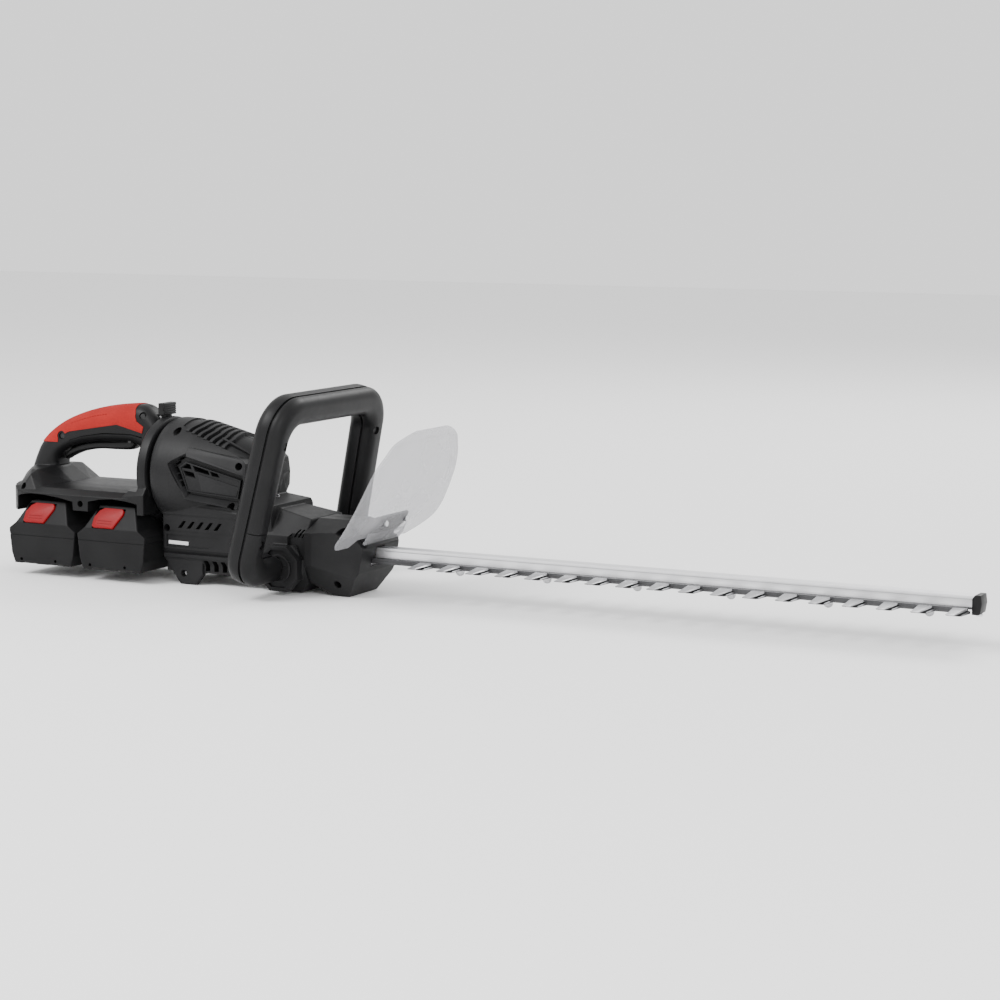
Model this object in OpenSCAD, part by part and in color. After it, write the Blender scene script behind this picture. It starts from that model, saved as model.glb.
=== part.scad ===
// Cordless double-sided hedge trimmer: two battery packs, a rear handle that turns
// about the body, a front loop handle, a clear hand guard and a long cutter bar.
// +X runs forward to the blade tip, +Z up and +Y to the tool's left.

/* [Blades] */
// Distance from one blade tooth to the next
tooth_pitch = 32; // [30:1:36]
// Teeth along each side of a blade
tooth_count = 18; // [12:1:20]
// Distance over the long teeth of the upper blade, across the bar
upper_span = 86; // [80:1:94]
// Distance over the short teeth of the lower blade, across the bar
lower_span = 60; // [54:1:66]
// Thickness of one blade
blade_t = 2.3; // [2:0.1:2.4]
// Travel of each blade from end to end
blade_stroke = 16; // [12:1:16]

/* [Guide bar] */
// Width of the aluminium guide bar
bar_w = 14; // [13:0.5:16]
// Height of the aluminium guide bar
bar_h = 10.2; // [9:0.2:11]
// Radius of the bolts that hold the blades under the bar
bolt_r = 3; // [2.5:0.1:3]

/* [Body] */
// Height of the turning axis of the rear handle above the ground
swivel_z = 112.6; // [111:0.2:115]
// Largest radius of the round motor housing
drum_r = 56; // [54:0.5:57]
// Half width of the lower body
block_half_w = 40; // [39:0.5:41]
// Wall thickness of the plastic shells
wall = 3; // [2.5:0.1:3.2]

/* [Front loop] */
// Forward lean of the loop in degrees
loop_lean = 13; // [11:0.5:14]
// Thickness of the loop along the tool
loop_t = 34; // [30:1:36]
// Half width of the loop at its foot
loop_foot_w = 113; // [110:1:116]
// Half width of the loop at its top
loop_top_w = 100; // [96:1:104]
// Height of the loop along its own plane
loop_h = 193; // [189:1:197]
// Width of the loop's legs
loop_leg = 27; // [24:1:28]

/* [Rear handle] */
// Thickness of the grip across the hand
grip_w = 34; // [30:1:36]
// Width of the battery housing across the tool
bay_w = 120; // [116:1:124]

/* [Batteries] */
// Largest width of a battery pack
pack_w = 85; // [80:1:86]
// Length of a battery pack
pack_l = 116; // [110:1:118]
// Distance between the two packs' centres
pack_pitch = 88.8; // [88:0.2:90]

/* [Drive] */
// Gear module
gear_module = 1.25; // [1.25:0.05:1.3]
// Teeth on the motor pinion
pinion_teeth = 12; // [12:1:12]
// Teeth on the crank gear
crank_teeth = 40; // [40:1:40]

/* [Guard] */
// Thickness of the clear guard
guard_t = 2.6; // [2:0.1:3]

/* [Hidden] */
$fn = 64;
eps = 0.01;
fit = 0.05;
head_gap = 0.2;
gap = 0.3;

// Blade pack
bar_z = 38.6;
first_tooth_x = 52.5;
tooth_tip_w = 9;
tooth_root_w = 18;
spine_half_w = 13;
rest_shift = 1;
blade_gap = 0.2;
upper_z = bar_z - blade_gap - blade_t;
lower_z = upper_z - blade_gap - blade_t;
nose_x = -5.5;
bar_rear_x = -22;
bar_front_x = first_tooth_x + tooth_pitch * (tooth_count - 1) + 15.5;
bolt_first_x = first_tooth_x + tooth_pitch;
bolt_step = 3 * tooth_pitch;
bolt_count = floor((bar_front_x - bolt_first_x) / bolt_step) + 1;
spacer_r = bolt_r + 1;
nut_r = 4.5;
cap_x = bar_front_x - 6;
cap_half_w = bar_w / 2 + 2;
cap_bolt_x = bar_front_x - 1.5;
tip_x = bar_front_x + 3;

// Crank drive
crank_x = -44;
crank_r = 5;
eccentric_r = 13.2;
eccentric_throw = blade_stroke / 2;
crank_phase = acos(-rest_shift / eccentric_throw);
yoke_half_x = eccentric_r + 0.2;
yoke_half_y = eccentric_r + eccentric_throw + 0.2;
yoke_rim = 4;
sweep_r = eccentric_r + eccentric_throw + 0.6;
crank_gear_r = gear_module * crank_teeth / 2;
pinion_r = gear_module * pinion_teeth / 2;
tooth_up = 0.8;
gear_face = 7;
motor_z = 66;
mesh_z = motor_z - pinion_r;
case_x0 = -84;
case_x1 = -11.5;
case_half_w = 36;
tray_half_w = 32;
tray_z = 20;

// Motor
motor_rear_x = -172;
motor_front_x = -122;
motor_r = 16;
shaft_r = 3;
bearing_r = 8;
bearing_w = 5;
bearing_rib_x = -92;
fan_x = -108;
fan_r = 14;

// Rear handle
seam_x = -252.5;
collar_rear_x = -266;
rear_x = -436;
bay_x0 = -418;
bay_x1 = -256;
bay_floor_z = 71;
deck_z = 99;
pack_front_x = -290.5;
pack_y0 = -66;
pack_z0 = 12;
pack_z1 = 78;

// The part's origin is under the middle of its bounding box
origin_x = (rear_x + tip_x) / 2;

plastic = "#2e2e30";
dark_plastic = "#1d1d1f";
red = "#b01c22";
grip_red = "#bc423e";
alloy = "#d8d8d8";
steel = "#8a8c90";
blade_steel = "#55575a";
clear = "#d8d8dccc";

// Moves the tool from its working frame (bar root at zero) to the part's origin
module placed() {
    translate([-origin_x, 0, 0]) children();
}

// An outline in X and Z, given thickness across the tool
module slab_y(points, y0, y1) {
    translate([0, y1, 0]) rotate([90, 0, 0]) linear_extrude(y1 - y0) polygon(points);
}

// An outline in Y and Z, given length along the tool
module slab_x(points, x0, x1) {
    translate([x0, 0, 0]) rotate([90, 0, 90]) linear_extrude(x1 - x0) polygon(points);
}

// A box between two corners
module block(low, high) {
    translate(low) cube(high - low);
}

// A round bar along X
module rod_x(x0, x1, z, r, y = 0) {
    translate([x0, y, z]) rotate([0, 90, 0]) cylinder(h = x1 - x0, r = r);
}

// A round bar along Y
module rod_y(x, z, y0, y1, r) {
    translate([x, y0, z]) rotate([-90, 0, 0]) cylinder(h = y1 - y0, r = r);
}

// A round bar along Z
module rod_z(x, y, z0, z1, r) {
    translate([x, y, z0]) cylinder(h = z1 - z0, r = r);
}

// Copies its children to both sides of the tool
module both_sides() {
    children();
    mirror([0, 1, 0]) children();
}

// The half space on one side of the middle plane; side is -1 for right and 1 for left
module half_space(side) {
    reach = 300;
    translate([rear_x - reach, side > 0 ? 0 : -reach, -reach]) cube([1200, reach, 3 * reach]);
}

// Bosses across the shells, and the holes for the screws in them
screw_r = 1.8;
screw_head_r = 3.2;
screw_head_h = 2.5;
screw_seat_y = -20;
screw_end_y = 6;
boss_r = 5;

module screw_bosses(spots) {
    for (p = spots) rod_y(p[0], p[1], -60, 60, boss_r);
}

module screw_holes(spots) {
    for (p = spots) {
        rod_y(p[0], p[1], -120, screw_seat_y, screw_head_r + head_gap);
        rod_y(p[0], p[1], screw_seat_y - 1, screw_end_y + 1, screw_r + fit);
    }
}

module screws(spots) {
    for (p = spots) {
        rod_y(p[0], p[1], screw_seat_y, screw_end_y, screw_r);
        rod_y(p[0], p[1], screw_seat_y - screw_head_h, screw_seat_y, screw_head_r);
    }
}

// Points of an arc
function arc(cx, cy, r, a0, a1, n = 8) =
    [for (i = [0:n]) [cx + r * cos(a0 + (a1 - a0) * i / n), cy + r * sin(a0 + (a1 - a0) * i / n)]];

// ---------------------------------------------------------------- motor housing
drum_front_x = -138;

// Radius and position of the round part along its axis, with in = the inward offset
function drum_profile(in) = [
    [0, seam_x + gap + in], [drum_r - 3 - in, seam_x + gap + in], [drum_r - in, -247],
    [drum_r - 0.5 - in, -226], [drum_r - 3.5 - in, -208], [drum_r - 11 - in, -176],
    [drum_r - 17.5 - in, -150], [drum_r - 30 - in, drum_front_x - in], [0, drum_front_x - in]
];

module drum(profile) {
    translate([0, 0, swivel_z]) rotate([0, 90, 0]) rotate_extrude() polygon(profile);
}

// Cross-section of the lower body, with in = the inward offset of the cavity
function block_section(in) = [
    [-block_half_w + in, 28 + in], [-block_half_w + in, 86], [-30 + in, 112], [30 - in, 112],
    [block_half_w - in, 86], [block_half_w - in, 28 + in], [34 - in, 20 + in],
    [34 - in, 12 + in], [-34 + in, 12 + in], [-34 + in, 20 + in]
];

function neck_section(in) = [
    [-42 + in, 22], [-42 + in, 60 - in / 2], [-24 + in / 2, 92 - in], [24 - in / 2, 92 - in],
    [42 - in, 60 - in / 2], [42 - in, 22], [30 - in, 0 + in], [-30 + in, 0 + in]
];

function neck_side(in) = [
    [-136, 91 - in], [-69, 78 - in], [-69, 13 + in], [-80, 1 + in], [-112, 1 + in], [-136, 14 + in]
];

module neck(in) {
    intersection() {
        slab_y(neck_side(in), -60, 60);
        slab_x(neck_section(in), -140, -69);
    }
}

module motor_cover_boss() {
    translate([-96, 42 - eps, 27]) rotate([-90, 22.5, 0]) cylinder(h = 10 + eps, r = 25, $fn = 8);
}

module foot_plate() {
    difference() {
        slab_y([[-241, 22], [-224, 0], [-205, 0], [-196, 11], [-196, 22]], -38, -31);
        rod_y(-219, 11, -39, -30, 3.5);
    }
}

// Slanted slots in the side of the lower body
module side_slots() {
    for (i = [0:4])
        translate([-220 + 11 * i, 0, 57])
            slab_y([[0, 0], [4, 0], [9, 10], [5, 10]], -60, 60);
}

module exhaust_slots() {
    for (i = [0:3])
        translate([-82 + 4.5 * i, 0, 58])
            slab_y([[0, 0], [2, 0], [6, 8], [4, 8]], -60, 60);
}

module floor_slots() {
    for (i = [0:3])
        translate([-196 + 12 * i, 0, 12]) block([0, -50, 4], [6, 50, 14]);
}

// Curved air slots over the top of the drum
module roof_slots() {
    for (i = [0:4])
        translate([-214 + 9.5 * i, 0, 0])
            block([0, -34, swivel_z + 20], [4.5, 34, swivel_z + 80]);
}

// Hexagonal air windows on each side of the drum
module side_windows() {
    both_sides() {
        slab_y([[-206, 139], [-196, 137], [-196, 131], [-204, 132]], -70, -30);
        slab_y([[-193, 136], [-174, 132], [-172, 126], [-193, 130]], -70, -30);
        slab_y([[-203, 129], [-192, 127], [-191, 119], [-200, 121]], -70, -30);
    }
}

// The squared lower body; in = the inward offset of its cavity
module lower_block(in) {
    intersection() {
        slab_x(block_section(in), -243 + in, -120 - in);
        slab_y([
            [-250, 10], [-250, 115], [-138 - in, 115], [-138 - in, 92 - in], [-110, 88 - in], [-110, 10]
        ], -60, 60);
    }
}

body_screw_spots = [[-228, 157], [-147.5, 126], [-156, 84.5], [-238, 57.5]];
nose_screw_spots = [[-30, 66], [-36, 13]];

module housing_cavity() {
    drum(drum_profile(wall));
    lower_block(wall);
    neck(wall);
    block([-72, -block_half_w + wall, 13 + wall], [-60, block_half_w - wall, 76]);
}

module motor_housing(side) {
    difference() {
        union() {
            drum(drum_profile(0));
            lower_block(0);
            neck(0);
            both_sides() motor_cover_boss();
            both_sides() foot_plate();
        }
        difference() {
            housing_cavity();
            screw_bosses(body_screw_spots);
        }
        screw_holes(body_screw_spots);
        rod_x(motor_rear_x - 1, motor_front_x + 5, motor_z, motor_r + gap);
        rod_x(seam_x - 1, seam_x + 12, swivel_z, 44);
        side_slots();
        exhaust_slots();
        floor_slots();
        roof_slots();
        side_windows();
        half_space(-side);
    }
    difference() {
        motor_ribs();
        half_space(-side);
    }
}

// Ribs inside the shells that hold the motor and the front shaft bearing
module motor_ribs() {
    difference() {
        union() {
            for (x = [motor_rear_x + 6, motor_front_x - 12])
                block([x, -block_half_w + wall - eps, 40], [x + 4, block_half_w - wall + eps, 80]);
            block([bearing_rib_x, -block_half_w + wall + 1, 50],
                [bearing_rib_x + 5, block_half_w - wall - 1, 74]);
        }
        rod_x(motor_rear_x, motor_front_x, motor_z, motor_r + fit);
        rod_x(motor_rear_x, -60, motor_z, bearing_r);
    }
}

module motor_housing_right() {
    color(plastic) placed() motor_housing(-1);
}

module motor_housing_left() {
    color(plastic) placed() motor_housing(1);
}

// ---------------------------------------------------------------- nose and gear case
function nose_side(in) = [
    [-69 + gap, 13 + in], [-47, 0 + in], [-26.8 - in / 2, 0 + in], [-10.6 - in, 26], [nose_x - in, 51],
    [-27.5 - in / 2, 76 - in], [-69 + gap, 76 - in]
];

function nose_section(in) = [
    [-45 + in, 31], [-45 + in, 64 - in / 2], [-16 + in / 2, 76 - in], [16 - in / 2, 76 - in],
    [45 - in, 64 - in / 2], [45 - in, 31], [27 - in, 0 + in], [-27 + in, 0 + in]
];

function nose_plan(in) = [
    [-69 + gap, -45 + in], [-60, -45 + in], [nose_x, -36.5 + in], [nose_x, 36.5 - in], [-60, 45 - in],
    [-69 + gap, 45 - in]
];

module nose(in) {
    intersection() {
        slab_y(nose_side(in), -60, 60);
        slab_x(nose_section(in), -69 + gap, nose_x);
        linear_extrude(height = 80) polygon(nose_plan(in));
    }
}

module nose_cover(side) {
    difference() {
        nose(0);
        difference() {
            nose(wall);
            screw_bosses(nose_screw_spots);
        }
        screw_holes(nose_screw_spots);
        block([-70, -block_half_w + wall, 13 + wall], [-60, block_half_w - wall, 75.2]);
        block([-20, -bar_w / 2 - 0.6, lower_z - 0.6], [nose_x + 1, bar_w / 2 + 0.6, bar_z + bar_h + 0.6]);
        block([-20, -spine_half_w - 0.6, lower_z - 0.6], [nose_x + 1, spine_half_w + 0.6, bar_z]);
        half_space(-side);
    }
}

module nose_cover_right() {
    color(plastic) placed() nose_cover(-1);
}

module nose_cover_left() {
    color(plastic) placed() nose_cover(1);
}

cheek_bolts = [-18.8, -14.6];
cheek_half_w = 31;
cheek_bolt_r = 1.5;
cheek_head_r = 2;
case_screw_spots = [[-78, 29.5], [-78, -29.5], [-24, 28], [-24, -28]];

module case_screw_holes(r) {
    for (p = case_screw_spots) rod_z(p[0], p[1], tray_z - 1, 60, r);
}

// Lower half of the gear case, with the lower crank bearing and the pocket below the blades
module gear_case_lower() {
    color(alloy) placed() difference() {
        block([case_x0, -tray_half_w, tray_z], [case_x1, tray_half_w, bar_z]);
        block([case_x0 - 1, -26.5, lower_z - gap], [case_x1 + 1, 26.5, 60]);
        rod_z(crank_x, 0, 28.4, 60, sweep_r);
        rod_z(crank_x, 0, 23, 30, 8);
        rod_z(crank_x, 0, 10, 30, crank_r + 0.5);
        case_screw_holes(2);
        // front edge bevelled to lie along the inside of the nose
        slab_y([[-19.5, 19], [-10, 19], [-10, 40], [-11.9, 38], [-14.3, 26]], -40, 40);
    }
}

// Upper half of the gear case, with the upper crank bearing and cheeks beside the bar
module gear_case_upper() {
    color(alloy) placed() difference() {
        block([case_x0, -case_half_w, bar_z + fit], [case_x1, case_half_w, bar_z + bar_h]);
        rod_z(crank_x, 0, 30, bar_z + 4.9, sweep_r);
        rod_z(crank_x, 0, 30, 60, 11);
        block([bar_rear_x - fit, -bar_w / 2 - fit, 30], [case_x1 + 1, bar_w / 2 + fit, 60]);
        case_screw_holes(2);
        for (x = cheek_bolts) rod_y(x, bar_z + bar_h / 2, -60, 60, cheek_bolt_r + fit);
        both_sides() block([-26, cheek_half_w, bar_z], [case_x1 + 1, case_half_w + 1, 60]);
    }
}

module gear_case_screws() {
    color(steel) placed() {
        for (p = case_screw_spots) {
            rod_z(p[0], p[1], tray_z + 1, bar_z + bar_h, 1.95);
            rod_z(p[0], p[1], bar_z + bar_h, bar_z + bar_h + 3, 3.5);
        }
        for (x = cheek_bolts) {
            rod_y(x, bar_z + bar_h / 2, -cheek_half_w, cheek_half_w, cheek_bolt_r);
            rod_y(x, bar_z + bar_h / 2, -cheek_half_w - 2, -cheek_half_w, cheek_head_r);
        }
    }
}

// ---------------------------------------------------------------- guide bar and blades
function bolt_x(i) = bolt_first_x + bolt_step * i;

module guide_bar() {
    groove_w = 0.8;
    color(alloy) placed() difference() {
        block([bar_rear_x, -bar_w / 2, bar_z], [bar_front_x, bar_w / 2, bar_z + bar_h]);
        both_sides() block([2, bar_w / 2 - groove_w, bar_z + 6.9],
            [bar_front_x + 1, bar_w / 2 + 1, bar_z + 7.7]);
        for (i = [0:bolt_count - 1]) rod_z(bolt_x(i), 0, 0, 80, bolt_r + fit);
        for (x = cheek_bolts) rod_y(x, bar_z + bar_h / 2, -60, 60, 1.55);
        rod_z(cap_bolt_x, 0, 30, bar_z + 6, 1.5 + fit);
    }
}

module bar_bolts() {
    color(steel) placed() {
        for (i = [0:bolt_count - 1]) rod_z(bolt_x(i), 0, lower_z - 5, bar_z + bar_h, bolt_r);
        rod_z(cap_bolt_x, 0, lower_z - 1.5, bar_z + 6, 1.5);
        rod_z(cap_bolt_x, 0, lower_z - 3.5, lower_z - 1.5, 3);
    }
}

// Sleeves that the blades slide along, from the bar down to the nut
module bar_spacers() {
    color(steel) placed() for (i = [0:bolt_count - 1]) difference() {
        rod_z(bolt_x(i), 0, lower_z - blade_gap, bar_z, spacer_r);
        rod_z(bolt_x(i), 0, lower_z - 2, bar_z + 1, bolt_r + fit);
    }
}

// A washer and a domed nut under the blades at each bolt
module bar_nuts() {
    washer_z = lower_z - blade_gap - 1;
    color(steel) placed() for (i = [0:bolt_count - 1]) difference() {
        union() {
            rod_z(bolt_x(i), 0, washer_z, lower_z - blade_gap, 6);
            rod_z(bolt_x(i), 0, washer_z - 2, washer_z + eps, nut_r);
            intersection() {
                translate([bolt_x(i), 0, washer_z - 2]) sphere(r = nut_r);
                rod_z(bolt_x(i), 0, washer_z - 7, washer_z - 2, nut_r + 1);
            }
        }
        rod_z(bolt_x(i), 0, lower_z - 5 - fit, lower_z + 1, bolt_r + fit);
    }
}

// Moulded cap over the end of the bar, hollow where the blade ends slide
module tip_cap() {
    top = bar_z + bar_h + 1.2;
    low = lower_z - 1.5;
    color(dark_plastic) placed() difference() {
        slab_y([
            [cap_x, low], [cap_x, top - 1.2], [cap_x + 2, top], [tip_x - 1, top],
            [tip_x, bar_z + 2], [tip_x - 1.5, low + 1], [tip_x - 3, low]
        ], -cap_half_w, cap_half_w);
        block([cap_x - 1, -bar_w / 2 - fit, bar_z - fit],
            [bar_front_x + fit, bar_w / 2 + fit, bar_z + bar_h + fit]);
        block([cap_x - 1, -cap_half_w + 1, low + 1], [cap_x + 2.5, cap_half_w - 1, bar_z]);
        rod_z(cap_bolt_x, 0, 25, bar_z + 1, 1.5 + fit);
    }
}

// A tooth on each side, in one outline that runs across the spine
module tooth_pair(tip) {
    root = tooth_root_w / 2;
    end = tooth_tip_w / 2;
    polygon([
        [-root, spine_half_w], [-end, tip - 2], [2 - end, tip],
        [end - 2, tip], [end, tip - 2], [root, spine_half_w],
        [root, -spine_half_w], [end, 2 - tip], [end - 2, -tip],
        [2 - end, -tip], [-end, 2 - tip], [-root, -spine_half_w]
    ]);
}

// One toothed blade; shift is where it stands, measured from the middle of its stroke
module blade(z, shift, span) {
    half_stroke = blade_stroke / 2;
    first_x = first_tooth_x + rest_shift + shift;
    last_x = first_x + tooth_pitch * (tooth_count - 1);
    yoke_x = yoke_half_x + yoke_rim;
    yoke_y = yoke_half_y + yoke_rim;
    slot_y = spacer_r + gap;
    difference() {
        union() {
            block([crank_x + shift - yoke_x, -yoke_y, z], [crank_x + shift + yoke_x, yoke_y, z + blade_t]);
            block([crank_x + shift, -spine_half_w, z], [last_x + 6, spine_half_w, z + blade_t]);
            for (i = [0:tooth_count - 1])
                translate([first_x + tooth_pitch * i, 0, z]) linear_extrude(blade_t) tooth_pair(span / 2);
        }
        block([cap_x - half_stroke - rest_shift + shift, -cap_half_w - gap, z - 1],
            [tip_x + 20, cap_half_w + gap, z + 5]);
        block([crank_x + shift - yoke_half_x, -yoke_half_y, z - 1],
            [crank_x + shift + yoke_half_x, yoke_half_y, z + 5]);
        for (i = [0:bolt_count - 1]) {
            x = bolt_x(i) + shift;
            block([x - half_stroke, -slot_y, z - 1], [x + half_stroke, slot_y, z + 5]);
            rod_z(x - half_stroke, 0, z - 1, z + 5, slot_y);
            rod_z(x + half_stroke, 0, z - 1, z + 5, slot_y);
        }
    }
}

module upper_blade() {
    color(blade_steel) placed() blade(upper_z, -rest_shift, upper_span);
}

module lower_blade() {
    color(blade_steel) placed() blade(lower_z, rest_shift, lower_span);
}

// ---------------------------------------------------------------- guard
// Height, forward reach and half width of the guard at a few levels
guard_levels = [
    [53, -18, 66], [60, -9, 80], [70, 3, 89], [83, 13, 91], [101, 22.7, 89], [120, 31.5, 86],
    [137, 38, 80], [149, 42.5, 71], [160, 46.5, 61], [168, 51, 42], [172, 53, 25]
];

module guard_strip(a, b) {
    back = [[a[1], a[0]], [b[1], b[0]], [b[1] + guard_t, b[0]], [a[1] + guard_t, a[0]]];
    intersection() {
        slab_y(back, -100, 100);
        slab_x([[-a[2], a[0]], [a[2], a[0]], [b[2], b[0]], [-b[2], b[0]]], -60, 100);
    }
}

bracket_half_w = 30;
bracket_screws = [-20, 20];
guard_screw_r = 1.5;
bracket_screw_z = 76;
guard_head_x = 10.9;

module blade_guard() {
    color(clear) placed() difference() {
        union() {
            for (i = [0:len(guard_levels) - 2]) guard_strip(guard_levels[i], guard_levels[i + 1]);
        }
        // the sheet is cut away over the nose
        block([-30, -46.5, 40], [0, 46.5, 61]);
        for (y = bracket_screws) {
            rod_x(-10, 30, bracket_screw_z, guard_screw_r + fit, y);
            rod_x(guard_head_x, 30, bracket_screw_z, 3.1, y);
        }
    }
}

// Foot on the sloping top of the nose and the plate that the guard is screwed to
module guard_bracket() {
    color(dark_plastic) placed() difference() {
        slab_y([
            [-24.3, 72.5], [-9.6, 56.1], [-9.3, 59.8], [2.6, 69.9], [12.5, 82.6], [9.9, 84.4],
            [0.2, 72.2], [-8.9, 64.8], [-21.6, 75.3]
        ], -bracket_half_w, bracket_half_w);
        for (y = bracket_screws) rod_x(-10, 30, bracket_screw_z, guard_screw_r + fit, y);
    }
}

module guard_screws() {
    color(steel) placed() for (y = bracket_screws) {
        rod_x(1, guard_head_x, bracket_screw_z, guard_screw_r, y);
        rod_x(guard_head_x, guard_head_x + 2, bracket_screw_z, 2 * guard_screw_r, y);
    }
}

// ---------------------------------------------------------------- front loop
loop_x = -108.9;
loop_z = 15;
loop_body_half = 52.02;
edge_steps = [[17, 15, 5], [15, 12, 2], [12, 1, 0], [1, 0.15, 1.6]];

// Puts its children in the plane of the loop: X through it, Z up along it
module loop_frame() {
    translate([loop_x, 0, loop_z]) rotate([0, loop_lean, 0]) children();
}

// Outer outline of the loop in its own plane, in = the inward offset
function loop_outer(in) = concat(
    arc(loop_foot_w - 30, 30, 30 - in, -90, 0), arc(loop_top_w - 40, loop_h - 40, 40 - in, 0, 90),
    arc(-loop_top_w + 40, loop_h - 40, 40 - in, 90, 180), arc(-loop_foot_w + 30, 30, 30 - in, 180, 270)
);

// Outline of the hand opening, out = how far it is widened
function loop_inner(out) = concat(
    arc(loop_foot_w - loop_leg - 14, 40, 14 + out, -90, 0),
    arc(loop_top_w - loop_leg - 20, loop_h - 45, 20 + out, 0, 90),
    arc(-loop_top_w + loop_leg + 20, loop_h - 45, 20 + out, 90, 180),
    arc(-loop_foot_w + loop_leg + 14, 40, 14 + out, 180, 270)
);

module loop_slab(in, x0, x1) {
    difference() {
        slab_x(loop_outer(in), x0, x1);
        slab_x(loop_inner(in), x0 - 1, x1 + 1);
    }
}

paddle_h0 = 93;
paddle_h1 = 131;
paddle_half_t = 11;
paddle_pin_h = paddle_h0 + 3;
paddle_pin_r = 1.2;
loop_screw_r = 1.8;
loop_screw_head_r = 3.2;
loop_screw_spots = [[-87, 147], [87, 147], [-98, 47], [98, 47]];

// One half of the loop; side is -1 for the rear shell and 1 for the front shell
module loop_shell(side) {
    difference() {
        loop_frame() difference() {
            mirror([side < 0 ? 1 : 0, 0, 0]) difference() {
                for (s = edge_steps) loop_slab(s[2], s[1], s[0] + (s[0] < 17 ? eps : 0));
                loop_slab(wall, -1, loop_t / 2 - wall);
            }
            block([-paddle_half_t - gap, -opening_w(paddle_h0) - 9, paddle_h0 - 1],
                [paddle_half_t + gap, -60, paddle_h1 + 1]);
            paddle_pin_bar(fit / 5);
            if (side > 0) for (p = loop_screw_spots)
                translate([0, p[0], p[1]]) rotate([0, 90, 0])
                    cylinder(h = 40, r = loop_screw_head_r + head_gap);
        }
        block([-160, -loop_body_half, 0], [-40, loop_body_half, 62]);
    }
}

module loop_rear_shell() {
    color(plastic) placed() loop_shell(-1);
}

module loop_front_shell() {
    color(plastic) placed() loop_shell(1);
}

module loop_screws() {
    color(steel) placed() loop_frame() for (p = loop_screw_spots) translate([0, p[0], p[1]]) {
        rod_x(-12, 10, 0, loop_screw_r);
        rod_x(10, 12.5, 0, loop_screw_head_r);
    }
}

// Half width of the hand opening at a height along the loop
function opening_w(h) = loop_foot_w - loop_leg - (loop_foot_w - loop_top_w) * h / loop_h;

// Ribbed switch paddle on the inner face of the right leg
module front_paddle() {
    w0 = opening_w(paddle_h0);
    w1 = opening_w(paddle_h1);
    color(dark_plastic) placed() loop_frame() difference() {
        slab_x([
            [-w0 - 7, paddle_h0], [-w0 + 0.5, paddle_h0], [-w0 + 4, paddle_h0 + 5],
            [-w0 + 5, paddle_h0 + 13], [-w0 + 3.5, paddle_h0 + 14.5], [-w0 + 6.2, paddle_h0 + 20],
            [-w0 + 6.5, paddle_h0 + 25], [-w0 + 4.8, paddle_h0 + 26.5], [-w0 + 6.6, paddle_h0 + 31],
            [-w1 + 4, paddle_h1 - 2], [-w1, paddle_h1], [-w1 - 7, paddle_h1]
        ], -paddle_half_t, paddle_half_t);
        paddle_pin_bar(fit);
    }
}

// Pin that the paddle swings on, held in both loop shells
module paddle_pin_bar(grow) {
    rod_x(-14, 14, paddle_pin_h, paddle_pin_r + grow, -opening_w(paddle_pin_h) - 1.8);
}

module paddle_pin() {
    color(steel) placed() loop_frame() paddle_pin_bar(0);
}

module front_paddle_spring() {
    w = opening_w(paddle_h1);
    color(steel) placed() loop_frame() rod_y(0, paddle_h1 - 12, -w - 14, -w - 11.2, 2.5);
}

module front_switch() {
    color(dark_plastic) placed() loop_frame()
        block([-5, -opening_w(paddle_h1) - 21.5, paddle_h1 - 16],
            [5, -opening_w(paddle_h1) - 14, paddle_h1 + 2]);
}

// ---------------------------------------------------------------- motor and drive
module motor_can() {
    color(steel) placed() difference() {
        rod_x(motor_rear_x, motor_front_x, motor_z, motor_r);
        rod_x(motor_rear_x + 2, motor_front_x + 1, motor_z, motor_r - 3);
        rod_x(motor_rear_x - 1, motor_front_x, motor_z, bearing_r - 3);
    }
}

module motor_end_cap() {
    color(dark_plastic) placed() difference() {
        rod_x(motor_front_x, motor_front_x + 4, motor_z, motor_r);
        rod_x(motor_front_x - 1, motor_front_x + 5, motor_z, bearing_r - 3);
    }
}

bearing_spots = [motor_rear_x - bearing_w, motor_front_x + 4, bearing_rib_x];

module motor_bearings() {
    color(steel) placed() for (x = bearing_spots) difference() {
        rod_x(x, x + bearing_w, motor_z, bearing_r - fit / 2);
        rod_x(x - 1, x + bearing_w + 1, motor_z, shaft_r + fit);
    }
}

module rotor() {
    color(steel) placed() {
        rod_x(motor_rear_x + 6, motor_front_x - 4, motor_z, motor_r - 4);
        rod_x(motor_rear_x - bearing_w - 1, crank_x - 20, motor_z, shaft_r);
    }
}

module cooling_fan() {
    blades = 9;
    color(dark_plastic) placed() difference() {
        union() {
            rod_x(fan_x, fan_x + 9, motor_z, 6);
            rod_x(fan_x, fan_x + 1.5, motor_z, fan_r);
            translate([fan_x, 0, motor_z]) for (i = [0:blades - 1]) rotate([i * 360 / blades, 0, 0])
                block([0, -0.7, 5], [9, 0.7, fan_r - 0.3]);
        }
        rod_x(fan_x - 1, fan_x + 10, motor_z, shaft_r + fit / 2);
    }
}

// Outline of the pinion, with one tooth pointing straight down at rest
function pinion_outline() = [
    for (i = [0:pinion_teeth - 1], p = [[-11, -1.4], [-3.6, tooth_up], [3.6, tooth_up], [11, -1.4]])
        let (a = -90 + i * 360 / pinion_teeth + p[0], r = pinion_r + p[1]) [r * cos(a), r * sin(a)]
];

module pinion() {
    color(steel) placed() difference() {
        slab_x([for (p = pinion_outline()) [p[0], p[1] + motor_z]],
            crank_x - crank_gear_r - 3, crank_x - crank_gear_r + 3);
        rod_x(-90, -40, motor_z, shaft_r + fit / 2);
    }
}

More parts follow.
